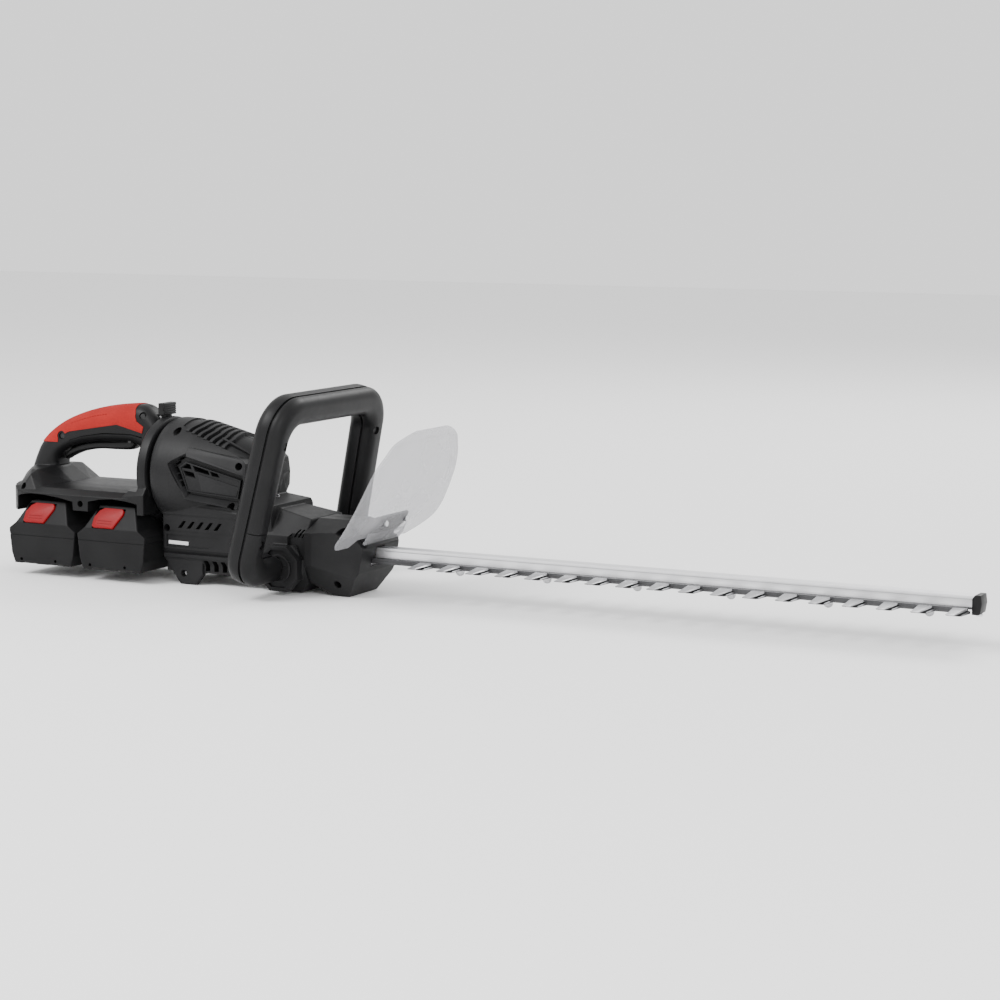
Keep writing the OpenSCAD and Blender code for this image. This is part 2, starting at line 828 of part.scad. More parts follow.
// Crown gear on the crankshaft, with its teeth on the upper face
module crank_gear() {
    ring_in = crank_gear_r - 2;
    ring_out = crank_gear_r + 2;
    face_z = mesh_z - 1.2;
    color(steel) placed() difference() {
        union() {
            rod_z(crank_x, 0, face_z - gear_face, face_z, ring_out + 1);
            translate([crank_x, 0, 0]) for (i = [0:crank_teeth - 1])
                rotate([0, 0, (i + 0.5) * 360 / crank_teeth])
                    block([ring_in, -0.65, face_z - 1], [ring_out, 0.65, mesh_z + 0.7]);
        }
        rod_z(crank_x, 0, face_z - 3, 70, ring_in - 3);
        rod_z(crank_x, 0, 40, 70, crank_r + fit / 2);
    }
}

// Crankshaft; one eccentric stands above the blades and the other below them
module crankshaft() {
    throw_x = eccentric_throw * cos(crank_phase);
    throw_y = eccentric_throw * sin(crank_phase);
    color(steel) placed() {
        rod_z(crank_x, 0, 22.6, mesh_z - 4.2, crank_r);
        rod_z(crank_x + throw_x, throw_y, bar_z + 0.3, bar_z + 4.6, eccentric_r);
        rod_z(crank_x - throw_x, -throw_y, lower_z - 4.9, lower_z - 0.5, eccentric_r);
    }
}

module crank_bearings() {
    color(steel) placed() {
        difference() {
            rod_z(crank_x, 0, 23, 28.4, 8);
            rod_z(crank_x, 0, 20, 30, crank_r + fit);
        }
        difference() {
            rod_z(crank_x, 0, bar_z + 4.9, bar_z + bar_h, 11);
            rod_z(crank_x, 0, bar_z, bar_z + 12, crank_r + fit);
        }
    }
}

module control_board() {
    color("darkgreen") placed() {
        block([-236, -32, 97], [-184, 32, 98.6]);
        block([-232, -28, 98.6], [-220, -14, 110]);
        block([-214, 6, 98.6], [-196, 24, 104]);
    }
}

module heat_sink() {
    color(alloy) placed() {
        block([-234, -30, 93], [-186, 30, 97]);
        for (i = [0:7]) block([-234, -30 + 8.2 * i, 86], [-186, -27.5 + 8.2 * i, 93 + eps]);
    }
}

// Screws that draw the two body shells together
module housing_screws() {
    color(steel) placed() screws(concat(body_screw_spots, nose_screw_spots));
}

// Wear ring in the back wall of the body that the rear handle turns in
module swivel_ring() {
    color(dark_plastic) placed() difference() {
        rod_x(seam_x + gap, seam_x + gap + wall, swivel_z, 44 - fit / 2);
        rod_x(seam_x - 1, seam_x + 10, swivel_z, spigot_r + 0.08);
    }
}

// ---------------------------------------------------------------- rear handle
spigot_r = 42;
flange_x = seam_x + 6;

latch_x0 = -266.8;
latch_x1 = -259.4;
latch_half_w = 11.5;
latch_z = swivel_z + drum_r + 1.5;
latch_groove_x = -279;

module latch_slide() {
    color(dark_plastic) placed() {
        block([latch_x0, -latch_half_w, latch_z], [latch_x1, latch_half_w, latch_z + 12.5]);
        block([latch_x0 + 0.4, -5, latch_z - 5.5], [latch_x1 - 1.2, 5, latch_z + eps]);
    }
}

module latch_spring() {
    color(steel) placed() rod_x(latch_groove_x + 0.1, latch_x0 - 4.8, latch_z - 3.5, 1.6);
}

function grip_top(in) = [
    [-415 + in, 141 - in], [-402 + in, 151 - in], [-388, 159 - in], [-367, 167.5 - in],
    [-342, 174.3 - in], [-318, 178.3 - in], [-296, 180 - in]
];

// Side outline of the D-shaped handle
handle_side = concat(
    [[rear_x + 1, 84], [rear_x + 3, 100]], grip_top(0),
    [[-284, 178], [-272, 168], [-266, 150], [-266, 84]]
);

hand_opening = [
    [-394, 112], [-394, 118], [-385, 126], [-370, 132], [-347, 136], [-303, 137], [-293, 134],
    [-287, 125], [-287, 106], [-291, deck_z + 0.5], [-352, deck_z + 0.5], [-360, 102], [-378, 111.5]
];

red_outline = concat(
    grip_top(0), [[-301, 172], [-298, 164], [-289, 158], [-283, 151], [-315, 157.5], [-345, 153],
    [-371, 148], [-379, 142], [-385, 136], [-405, 135.5]]
);

red_core = concat(
    grip_top(3), [[-303, 172], [-301, 163], [-291, 156], [-285, 148], [-315, 152], [-345, 149],
    [-371, 144], [-380, 139], [-386, 133], [-405, 132]]
);

// Plan outline of the battery housing, narrowing at the back
module bay_plan(in, z0, z1) {
    translate([0, 0, z0]) linear_extrude(z1 - z0) polygon([
        [bay_x1 - in, -bay_w / 2 + in], [-408, -bay_w / 2 + in], [bay_x0, -54 + in / 2], [rear_x + in, -30],
        [rear_x + in, 30], [bay_x0, 54 - in / 2], [-408, bay_w / 2 - in], [bay_x1 - in, bay_w / 2 - in]
    ]);
}

module bay_block() {
    intersection() {
        bay_plan(0, bay_floor_z, deck_z + 10);
        slab_x([
            [-bay_w / 2, bay_floor_z], [-bay_w / 2, 90.5], [-50, 96], [-18, deck_z], [18, deck_z],
            [50, 96], [bay_w / 2, 90.5], [bay_w / 2, bay_floor_z]
        ], rear_x - 1, bay_x1);
    }
}

// Raised rear end of the deck, where the grip stands
module deck_rear() {
    intersection() {
        slab_y([
            [rear_x, bay_floor_z], [rear_x, 90], [rear_x + 3, 101], [-427, 109], [-420, 111.5], [-408, 109],
            [-396, deck_z], [-396, bay_floor_z]
        ], -60, 60);
        slab_x([
            [-54, bay_floor_z], [-54, 91], [-46, 103], [-22, 112],
            [22, 112], [46, 103], [54, 91], [54, bay_floor_z]
        ], rear_x - 1, -390);
        bay_plan(0, bay_floor_z, 120);
    }
}

module handle_shell(side) {
    difference() {
        union() {
            deck_rear();
            rod_x(collar_rear_x, seam_x - gap, swivel_z, drum_r);
            slab_y(handle_side, -grip_w / 2, grip_w / 2);
            bay_block();
            block([collar_rear_x, -45, bay_floor_z], [seam_x - gap, 45, 112]);
            rod_x(seam_x - gap - eps, flange_x + 4, swivel_z, spigot_r);
            rod_x(flange_x, flange_x + 4, swivel_z, 47);
        }
        rod_x(-260, flange_x + 5, swivel_z, spigot_r - 4);
        slab_y(hand_opening, -60, 60);
        difference() {
            slab_y(red_outline, -20, 20);
            slab_y(red_core, -grip_w / 2 + wall, grip_w / 2 - wall);
        }
        // hollow grip and the pocket that the trigger swings in
        slab_y([[-394, 116], [-394, 126], [-388, 137], [-371, 144], [-345, 148], [-306, 149.5], [-296, 147],
            [-296, 129], [-303, 126], [-370, 117]], -9.6, 9.6);
        // battery bays, open below and to the right
        block([-414, -80, 20], [-333.5, 51, 84]);
        block([-329.5, -80, 20], [-261.5, 51, 84]);
        slab_y([[-275, 50], [-250, 50], [-255.7, 55.5], [-267, 79], [-270, 84], [-275, 84]], -80, 51);
        // latch groove in the collar
        block([latch_groove_x, -5.3, latch_z - 5.8], [latch_x1 - 0.9, 5.3, latch_z + 0.5]);
        block([latch_groove_x, -latch_half_w - 0.4, latch_z - 0.5], [-250, latch_half_w + 0.4, latch_z + 20]);
        rod_y(trigger_pin_x, trigger_pin_z, -13, 13, 2);
        for (p = handle_screw_spots) {
            rod_y(p[0], p[1], -100, handle_seat_y, screw_head_r);
            rod_y(p[0], p[1], handle_seat_y - 1, 8.5, 1.5 + fit);
        }
        half_space(-side);
    }
}

trigger_pin_x = -303;
trigger_pin_z = 141;
handle_screw_spots = [[-388, 143], [-283.5, 168], [-406, 91.5]];
handle_seat_y = -13;

module handle_shell_right() {
    color(plastic) placed() handle_shell(-1);
}

module handle_shell_left() {
    color(plastic) placed() handle_shell(1);
}

module red_grip() {
    color(grip_red) placed() difference() {
        slab_y(red_outline, -grip_w / 2, grip_w / 2);
        slab_y(red_core, -grip_w / 2 + wall - fit, grip_w / 2 - wall + fit);
        for (p = handle_screw_spots) rod_y(p[0], p[1], -100, 0, screw_head_r);
    }
}

module handle_screws() {
    color(steel) placed() for (p = handle_screw_spots) {
        rod_y(p[0], p[1], handle_seat_y, 8, 1.5);
        rod_y(p[0], p[1], handle_seat_y - 2.5, handle_seat_y, 3);
    }
}

module trigger() {
    color(dark_plastic) placed() difference() {
        slab_y([
            [-391, 116.5], [-386, 120], [-370, 126], [-347, 130.3], [-306, 131.3], [-299.5, 136],
            [-299, 141], [-303, 145], [-310, 142], [-347, 138.5], [-370, 134.5], [-386, 128], [-391, 122]
        ], -9, 9);
        rod_y(trigger_pin_x, trigger_pin_z, -20, 20, 2 + fit);
    }
}

module trigger_pin() {
    color(steel) placed() rod_y(trigger_pin_x, trigger_pin_z, -12.9, 12.9, 2 - fit / 5);
}

module trigger_spring() {
    color(steel) placed() rod_z(-352, 0, 142.6, 146.2, 3);
}

module trigger_switch() {
    color(dark_plastic) placed() block([-336, -9, 143], [-316, 9, 147.8]);
}

module terminal_blocks() {
    color(dark_plastic) placed() for (i = [0, 1]) {
        x = pack_front_x - i * pack_pitch;
        block([x - 18, 46.5, 80.5], [x + 18, 50.9, 83.9]);
        block([x - 12, 20, 80.5], [x + 12, 46.5 + eps, 83.9]);
    }
}

// ---------------------------------------------------------------- battery packs
seam_z = 42;
button_tilt = 60;
button_y = -60.2;
button_z = 65.5;
button_dx = -9;

// Cross-section of a pack about its centre, in = the inward offset
function pack_section(in) = [
    [-36 + in, pack_z0 + in], [36 - in, pack_z0 + in], [40 - in, 23], [pack_w / 2 - in, 46],
    [pack_w / 2 - in, 49 - in / 2], [33.5 - in, 55.5], [22, pack_z1 - in], [-22, pack_z1 - in],
    [-33.5 + in, 55.5], [-pack_w / 2 + in, 49 - in / 2], [-pack_w / 2 + in, 46], [-40 + in, 23]
];

// Solid pack; its near end slopes back above the shoulder
module pack_solid(in) {
    difference() {
        translate([0, pack_y0 + pack_l - in, 0]) rotate([90, 0, 0])
            linear_extrude(pack_l - 2 * in) polygon(pack_section(in));
        slab_x([
            [pack_y0 - 10, 55 - in], [pack_y0 + in, 55 - in], [pack_y0 + 13.4 + in, pack_z1 + 0.2 - in],
            [pack_y0 + 13.4 + in, 100], [pack_y0 - 10, 100]
        ], -60, 60);
    }
}

// Places its children on the sloping near end, Z along the outward normal
module on_slope() {
    translate([button_dx, button_y, button_z]) rotate([button_tilt, 0, 0]) children();
}

module pack_top(x) {
    color(plastic) placed() translate([x, 0, 0]) difference() {
        pack_solid(0);
        pack_solid(2.2);
        block([-60, -80, 0], [60, 80, seam_z]);
        on_slope() block([-15, -11.5, -6], [15, 11.5, 5]);
    }
}

module pack_base(x) {
    color(plastic) placed() translate([x, 0, 0]) difference() {
        pack_solid(0);
        pack_solid(2.2);
        block([-60, -80, seam_z], [60, 80, 100]);
    }
}

module pack_cells(x) {
    cell_r = 9.1;
    color("steelblue") placed() for (row = [0:4], layer = [0, 1])
        rod_x(x - 32.5, x + 32.5, 24 + layer * 18.6, cell_r, -51.5 + row * 18.6);
}

module pack_button(x) {
    color(red) placed() translate([x, 0, 0]) on_slope() block([-14.5, -11, -2], [14.5, 11, 1.6]);
}

module pack_button_spring(x) {
    color(steel) placed() translate([x, 0, 0]) on_slope() rod_z(0, 0, -7, -5.2, 3);
}

rear_pack_x = pack_front_x - pack_pitch;

module rear_pack_top() pack_top(rear_pack_x);
module rear_pack_base() pack_base(rear_pack_x);
module rear_pack_cells() pack_cells(rear_pack_x);
module rear_pack_button() pack_button(rear_pack_x);
module rear_pack_button_spring() pack_button_spring(rear_pack_x);
module front_pack_top() pack_top(pack_front_x);
module front_pack_base() pack_base(pack_front_x);
module front_pack_cells() pack_cells(pack_front_x);
module front_pack_button() pack_button(pack_front_x);
module front_pack_button_spring() pack_button_spring(pack_front_x);

motor_housing_right();
motor_housing_left();
nose_cover_right();
nose_cover_left();
gear_case_lower();
gear_case_upper();
gear_case_screws();
guide_bar();
bar_bolts();
bar_spacers();
bar_nuts();
tip_cap();
upper_blade();
lower_blade();
blade_guard();
guard_bracket();
guard_screws();
loop_rear_shell();
loop_front_shell();
loop_screws();
front_paddle();
paddle_pin();
front_paddle_spring();
front_switch();
motor_can();
motor_end_cap();
motor_bearings();
rotor();
cooling_fan();
pinion();
crank_gear();
crankshaft();
crank_bearings();
control_board();
heat_sink();
housing_screws();
swivel_ring();
latch_slide();
latch_spring();
handle_shell_right();
handle_shell_left();
red_grip();
handle_screws();
trigger();
trigger_pin();
trigger_spring();
trigger_switch();
terminal_blocks();
rear_pack_top();
rear_pack_base();
rear_pack_cells();
rear_pack_button();
rear_pack_button_spring();
front_pack_top();
front_pack_base();
front_pack_cells();
front_pack_button();
front_pack_button_spring();
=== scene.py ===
import math

import bmesh
import bpy
from mathutils import Matrix, Vector


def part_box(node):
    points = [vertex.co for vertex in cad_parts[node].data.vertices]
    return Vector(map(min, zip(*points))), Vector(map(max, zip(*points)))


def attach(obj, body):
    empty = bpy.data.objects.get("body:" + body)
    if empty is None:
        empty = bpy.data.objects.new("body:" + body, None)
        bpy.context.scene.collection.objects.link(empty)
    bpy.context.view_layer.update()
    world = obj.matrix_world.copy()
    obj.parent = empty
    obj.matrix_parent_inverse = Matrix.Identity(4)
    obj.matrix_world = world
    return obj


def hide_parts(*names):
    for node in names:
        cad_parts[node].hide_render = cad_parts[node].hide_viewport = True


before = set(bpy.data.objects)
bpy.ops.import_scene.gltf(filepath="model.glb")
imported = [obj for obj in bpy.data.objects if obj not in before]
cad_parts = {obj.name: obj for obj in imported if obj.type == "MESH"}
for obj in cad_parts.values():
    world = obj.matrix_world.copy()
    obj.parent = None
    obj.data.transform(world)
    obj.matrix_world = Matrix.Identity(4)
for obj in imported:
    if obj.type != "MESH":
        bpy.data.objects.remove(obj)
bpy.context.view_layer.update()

# Outlines below are in millimetres along the tool, with X = 0 where the bar leaves the nose
# and Z = 0 on the ground. The bar's rear end sits 22 mm inside the nose.
BAR_REAR_X = -22.0
ORIGIN_X = BAR_REAR_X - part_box("guide_bar")[0][0] * 1000
TO_METRES = Matrix.Scale(0.001, 4) @ Matrix.Translation((-ORIGIN_X, 0, 0))
SWIVEL_Z = 112.6
DRUM_R = 56.0
SCREW_R = 3.4


# ---------------------------------------------------------------- mesh helpers
def make(name, verts, faces):
    """A mesh object with its normals turned outwards."""
    mesh = bpy.data.meshes.new(name)
    mesh.from_pydata([tuple(v) for v in verts], [], faces)
    obj = bpy.data.objects.new(name, mesh)
    bpy.context.scene.collection.objects.link(obj)
    bm = bmesh.new()
    bm.from_mesh(mesh)
    bmesh.ops.recalc_face_normals(bm, faces=bm.faces)
    bm.to_mesh(mesh)
    bm.free()
    return obj


def prism(axis, outline, low, high):
    """A closed prism. The outline is in the two other axes, in X, Y, Z order."""
    n = len(outline)
    place = {"x": lambda p, t: (t, p[0], p[1]), "y": lambda p, t: (p[0], t, p[1]),
             "z": lambda p, t: (p[0], p[1], t)}[axis]
    level = [v if callable(v) else (lambda p, v=v: v) for v in (low, high)]
    verts = [place(p, level[k](p)) for k in (0, 1) for p in outline]
    faces = [list(range(n)), list(range(2 * n - 1, n - 1, -1))]
    faces += [[i, (i + 1) % n, n + (i + 1) % n, n + i] for i in range(n)]
    return make("solid", verts, faces)


def box(low, high):
    return prism("z", [(low[0], low[1]), (high[0], low[1]), (high[0], high[1]), (low[0], high[1])],
                 low[2], high[2])


def rod(start, end, radius, sides=32):
    a, b = Vector(start), Vector(end)
    along = (b - a).normalized()
    side = along.orthogonal().normalized()
    up = along.cross(side)
    verts = []
    for centre in (a, b):
        for i in range(sides):
            t = 2 * math.pi * i / sides
            verts.append(centre + side * (radius * math.cos(t)) + up * (radius * math.sin(t)))
    faces = [list(range(sides)), list(range(2 * sides - 1, sides - 1, -1))]
    faces += [[i, (i + 1) % sides, sides + (i + 1) % sides, sides + i] for i in range(sides)]
    return make("rod", verts, faces)


def lathe(profile, sides=128):
    """Turns a closed profile of (radius, x) points about the axis of the round housing."""
    n = len(profile)
    least = 0.01
    verts = []
    for i in range(sides):
        t = 2 * math.pi * i / sides
        verts += [(x, max(r, least) * math.sin(t), SWIVEL_Z + max(r, least) * math.cos(t))
                  for r, x in profile]
    faces = []
    for i in range(sides):
        a, b = i * n, (i + 1) % sides * n
        faces += [[a + k, a + (k + 1) % n, b + (k + 1) % n, b + k] for k in range(n)]
    return make("lathe", verts, faces)


def sweep(rings, closed=False, name="sweep"):
    """Skins a list of rings that all have the same number of points."""
    n, m = len(rings[0]), len(rings)
    verts = [p for ring in rings for p in ring]
    faces = []
    for i in range(m if closed else m - 1):
        a, b = i * n, (i + 1) % m * n
        faces += [[a + k, a + (k + 1) % n, b + (k + 1) % n, b + k] for k in range(n)]
    if not closed:
        faces += [list(range(n)), list(range(m * n - 1, (m - 1) * n - 1, -1))]
    return make(name, verts, faces)


def hull(points):
    """The convex solid round a set of points."""
    obj = make("hull", points, [])
    bm = bmesh.new()
    bm.from_mesh(obj.data)
    bmesh.ops.convex_hull(bm, input=bm.verts)
    bmesh.ops.delete(bm, geom=[v for v in bm.verts if not v.link_faces], context="VERTS")
    bmesh.ops.dissolve_limit(bm, angle_limit=math.radians(2), verts=bm.verts, edges=bm.edges)
    bmesh.ops.recalc_face_normals(bm, faces=bm.faces)
    bm.to_mesh(obj.data)
    bm.free()
    return obj


def bake(obj):
    """Applies an object's modifiers."""
    mesh = bpy.data.meshes.new_from_object(obj.evaluated_get(bpy.context.evaluated_depsgraph_get()))
    old = obj.data
    obj.modifiers.clear()
    obj.data = mesh
    bpy.data.meshes.remove(old)
    return obj


def combine(base, others, operation):
    """Booleans the others into base one by one and removes them."""
    for other in others:
        mod = base.modifiers.new("combine", "BOOLEAN")
        mod.operation = operation
        mod.solver = "MANIFOLD"
        mod.object = other
        bake(base)
        bpy.data.objects.remove(other)
    return base


def join(base, *others):
    return combine(base, others, "UNION")


def cut(base, *others):
    return combine(base, others, "DIFFERENCE")


def overlap(base, *others):
    return combine(base, others, "INTERSECT")


def mould(obj, voxel=0.9, rounds=4):
    """Rounds every edge the way a moulding is rounded."""
    mod = obj.modifiers.new("remesh", "REMESH")
    mod.mode = "VOXEL"
    mod.voxel_size = voxel
    mod = obj.modifiers.new("smooth", "SMOOTH")
    mod.factor = 0.5
    mod.iterations = rounds
    return bake(obj)


def bevel(obj, width, segments=3, angle=40):
    """Bevels the edges that are sharper than an angle in degrees."""
    mod = obj.modifiers.new("bevel", "BEVEL")
    mod.width = width
    mod.segments = segments
    mod.limit_method = "ANGLE"
    mod.angle_limit = math.radians(angle)
    return bake(obj)


def piece(obj, name, body, material, replaces=(), angle=35):
    """Finishes a solid: name, metres, material, shading, body and the CAD nodes it replaces."""
    obj.name = name
    obj.data.transform(TO_METRES)
    obj.data.materials.clear()
    for m in material if isinstance(material, (list, tuple)) else [material]:
        obj.data.materials.append(m)
    obj.data.shade_smooth()
    obj.data.set_sharp_from_angle(angle=math.radians(angle))
    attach(obj, body)
    if replaces:
        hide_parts(*replaces)
    return obj


def cad(name):
    """Lowest and highest corner of a CAD node in the outlines' millimetres."""
    low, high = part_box(name)
    return ([low[0] * 1000 + ORIGIN_X, low[1] * 1000, low[2] * 1000],
            [high[0] * 1000 + ORIGIN_X, high[1] * 1000, high[2] * 1000])


# ---------------------------------------------------------------- materials
class Nodes:
    """A material's node tree, with short calls to add to it."""

    def __init__(self, name):
        self.material = bpy.data.materials.new(name)
        self.material.use_nodes = True
        self.tree = self.material.node_tree
        self.tree.nodes.clear()
        self.output = self.add("ShaderNodeOutputMaterial")
        self.place = self.add("ShaderNodeTexCoord").outputs["Object"]

    def add(self, kind, **values):
        node = self.tree.nodes.new(kind)
        for key, value in values.items():
            if hasattr(node, key):
                setattr(node, key, value)
            else:
                node.inputs[key.replace("_", " ")].default_value = value
        return node

    def link(self, out, into):
        self.tree.links.new(out, into)

    def noise(self, scale, detail=4.0, roughness=0.5, stretch=None):
        node = self.add("ShaderNodeTexNoise", Scale=scale, Detail=detail, Roughness=roughness)
        source = self.place
        if stretch:
            mapping = self.add("ShaderNodeMapping")
            mapping.inputs["Scale"].default_value = stretch
            self.link(source, mapping.inputs["Vector"])
            source = mapping.outputs["Vector"]
        self.link(source, node.inputs["Vector"])
        return node.outputs["Fac"]

    def ramp(self, value, stops):
        node = self.add("ShaderNodeValToRGB")
        while len(node.color_ramp.elements) < len(stops):
            node.color_ramp.elements.new(0.5)
        for element, (pos, colour) in zip(node.color_ramp.elements, stops):
            element.position = pos
            element.color = (*colour, 1)
        self.link(value, node.inputs["Fac"])
        return node.outputs["Color"]

    def span(self, value, low, high, from_low=0.0, from_high=1.0):
        node = self.add("ShaderNodeMapRange")
        limits = {"From Min": from_low, "From Max": from_high, "To Min": low, "To Max": high}
        for key, number in limits.items():
            node.inputs[key].default_value = number
        self.link(value, node.inputs["Value"])
        return node.outputs["Result"]

    def mix(self, factor, a, b):
        node = self.add("ShaderNodeMix", data_type="RGBA")
        for socket, value in ((node.inputs[0], factor), (node.inputs[6], a), (node.inputs[7], b)):
            if isinstance(value, (tuple, float, int)):
                socket.default_value = (*value, 1) if isinstance(value, tuple) else value
            else:
                self.link(value, socket)
        return node.outputs[2]

    def bump(self, height, strength, distance, normal=None):
        node = self.add("ShaderNodeBump", Strength=strength, Distance=distance)
        self.link(height, node.inputs["Height"])
        if normal:
            self.link(normal, node.inputs["Normal"])
        return node.outputs["Normal"]

    def edges(self, low=0.52, high=0.6):
        """White on convex edges, black elsewhere."""
        point = self.add("ShaderNodeNewGeometry").outputs["Pointiness"]
        return self.span(point, 0.0, 1.0, low, high)

    def surface(self, **sockets):
        shader = self.add("ShaderNodeBsdfPrincipled")
        for key, value in sockets.items():
            socket = shader.inputs[key.replace("_", " ")]
            if isinstance(value, (tuple, float, int)):
                socket.default_value = (*value, 1) if isinstance(value, tuple) else value
            else:
                self.link(value, socket)
        self.link(shader.outputs["BSDF"], self.output.inputs["Surface"])
        return shader


def moulded(name, dark, light, roughness, grain=2600, grain_depth=0.00006, wear=0.35, gloss=0.32):
    """Moulded plastic: spark-eroded grain, slight mottling, fine specks and paler worn edges."""
    n = Nodes(name)
    colour = n.ramp(n.noise(35, 5), [(0.3, dark), (0.7, light)])
    fine = n.noise(grain, 2, 0.6)
    speck = n.span(n.noise(900, 3, 0.7), 0.0, 0.25, 0.55, 0.75)
    colour = n.mix(speck, colour, tuple(min(1, c * 2.2) for c in light))
    worn = n.add("ShaderNodeMath", operation="MULTIPLY")
    n.link(n.edges(), worn.inputs[0])
    n.link(n.span(n.noise(60, 4), 0.2 * wear, wear), worn.inputs[1])
    colour = n.mix(worn.outputs[0], colour, tuple(min(1, c * 3.2) for c in light))
    rough = n.span(n.noise(140, 4), roughness - 0.06, roughness + 0.07)
    normal = n.bump(fine, 0.35, grain_depth)
    normal = n.bump(n.noise(22, 2), 0.06, 0.0015, normal)
    n.surface(Base_Color=colour, Roughness=rough, Normal=normal, IOR=1.48, Specular_IOR_Level=gloss)
    return n.material


def metal(name, dark, light, roughness, stretch, scratch=0.25, metallic=1.0):
    """Worked metal with drawn lines along one direction, smudges and paler worn edges."""
    n = Nodes(name)
    lines = n.noise(60, 5, 0.65, stretch)
    colour = n.ramp(lines, [(0.25, dark), (0.75, light)])
    colour = n.mix(n.span(n.noise(25, 4), 0.0, 0.35, 0.45, 0.75), colour, tuple(c * 0.72 for c in dark))
    colour = n.mix(n.edges(), colour, tuple(min(1, c * 1.35) for c in light))
    rough = n.span(n.noise(90, 4, 0.6, stretch), roughness - 0.08, roughness + 0.12)
    normal = n.bump(lines, scratch, 0.00008)
    n.surface(Base_Color=colour, Roughness=rough, Metallic=metallic, Normal=normal)
    return n.material


def frosted(name):
    """Clear moulded sheet with a light frost, so that what is behind shows softly."""
    n = Nodes(name)
    normal = n.bump(n.noise(55, 3), 0.12, 0.001)
    body = n.surface(Base_Color=(0.46, 0.46, 0.47), Roughness=n.span(n.noise(120, 4), 0.22, 0.36),
                     Normal=normal, IOR=1.46)
    clear = n.add("ShaderNodeBsdfTransparent")
    clear.inputs["Color"].default_value = (0.90, 0.90, 0.91, 1)
    glow = n.add("ShaderNodeBsdfTranslucent")
    glow.inputs["Color"].default_value = (0.50, 0.50, 0.52, 1)
    see = n.add("ShaderNodeMixShader")
    n.link(n.span(n.noise(18, 3), 0.66, 0.76), see.inputs["Fac"])
    n.link(body.outputs["BSDF"], see.inputs[1])
    n.link(clear.outputs["BSDF"], see.inputs[2])
    last = n.add("ShaderNodeMixShader")
    last.inputs["Fac"].default_value = 0.10
    n.link(see.outputs["Shader"], last.inputs[1])
    n.link(glow.outputs["BSDF"], last.inputs[2])
    n.link(last.outputs["Shader"], n.output.inputs["Surface"])
    return n.material


HOUSING = moulded("housing plastic", (0.0065, 0.0065, 0.007), (0.0115, 0.0115, 0.012), 0.5, gloss=0.2)
HANDLE = moulded("handle plastic", (0.004, 0.004, 0.0043), (0.007, 0.007, 0.0074), 0.44, gloss=0.19)
BLACK = moulded("black plastic", (0.003, 0.003, 0.0032), (0.005, 0.005, 0.0053), 0.42, gloss=0.22)
PACK = moulded("pack plastic", (0.0045, 0.0045, 0.0048), (0.008, 0.008, 0.0084), 0.5, gloss=0.17)
GRIP_RED = moulded("red overmould", (0.24, 0.011, 0.009), (0.29, 0.016, 0.013), 0.72, grain=1500,
                   grain_depth=0.00012, wear=0.03, gloss=0.15)
BUTTON_RED = moulded("red button", (0.16, 0.0009, 0.0022), (0.20, 0.0015, 0.0038), 0.45,
                     grain_depth=0.00003, wear=0.03, gloss=0.2)
BAR = metal("bar aluminium", (0.40, 0.40, 0.41), (0.60, 0.60, 0.61), 0.34, (0.15, 8, 8), 0.15)
BLADE = metal("blade steel", (0.045, 0.045, 0.047), (0.085, 0.085, 0.088), 0.46, (6, 0.4, 4), 0.3, 0.8)
GROUND = metal("ground edge", (0.24, 0.24, 0.25), (0.40, 0.40, 0.41), 0.34, (1, 9, 1), 0.3)
STEEL = metal("turned steel", (0.38, 0.38, 0.39), (0.58, 0.58, 0.59), 0.3, (3, 3, 3))
# Near-black steel for the screws and the trigger pin: the dark colour is painted shade for the holes they
# sit in.
HOLE_SHADE_STEEL = metal("steel darkened for hole shade", (0.004, 0.004, 0.0043), (0.008, 0.008, 0.0083), 0.6, (3, 3, 3),
                   scratch=0.2, metallic=0.2)
BRACKET = moulded("bracket plastic", (0.012, 0.012, 0.0125), (0.018, 0.018, 0.0185), 0.5)
CLEAR = frosted("clear plastic")
CELL = moulded("cell wrap", (0.04, 0.16, 0.36), (0.06, 0.22, 0.46), 0.3)
BOARD = moulded("circuit board", (0.01, 0.10, 0.03), (0.02, 0.16, 0.06), 0.3)
PLATE = moulded("rating plate", (0.50, 0.50, 0.51), (0.60, 0.60, 0.61), 0.4, grain_depth=0.00002,
                wear=0.1)


# ---------------------------------------------------------------- motor housing
DRUM_STEPS = [(-249.8, 51.5), (-248, 54.2), (-244.5, 55.6), (-240, 56), (-226, 55.4), (-208, 52.6),
              (-176, 45), (-150, 38.5), (-138, 26)]


def drum_radius(x):
    """Radius of the round motor housing at a place along its axis."""
    for (x0, r0), (x1, r1) in zip(DRUM_STEPS, DRUM_STEPS[1:]):
        if x <= x1:
            return r0 + (r1 - r0) * max(0, x - x0) / (x1 - x0)
    return DRUM_STEPS[-1][1]


def on_drum(x, angle, out=0.0, side=-1):
    """A point over the drum; angle is measured down from the top, in degrees."""
    r = drum_radius(x) + out
    t = math.radians(angle)
    return (x, side * r * math.sin(t), SWIVEL_Z + r * math.cos(t))


def ease(t):
    """0 up to t = 0, 1 from t = 1, and a smooth rise between."""
    t = min(1, max(0, t))
    return t * t * (3 - 2 * t)


def louvre(x, low_angle, high_angle, side, width, low, high):
    """A bar over the drum that leans forward on its way up, between two angles and two depths."""
    corners = ((-width / 2, high), (width / 2, high), (width / 2, low), (-width / 2, low))
    steps = 14
    rings = []
    for i in range(steps + 1):
        angle = low_angle + (high_angle - low_angle) * i / steps
        lean = 4.8 * ease((low_angle - angle) / 20)
        rings.append([on_drum(x + lean + dx, angle, out, side) for dx, out in corners])
    return sweep(rings)


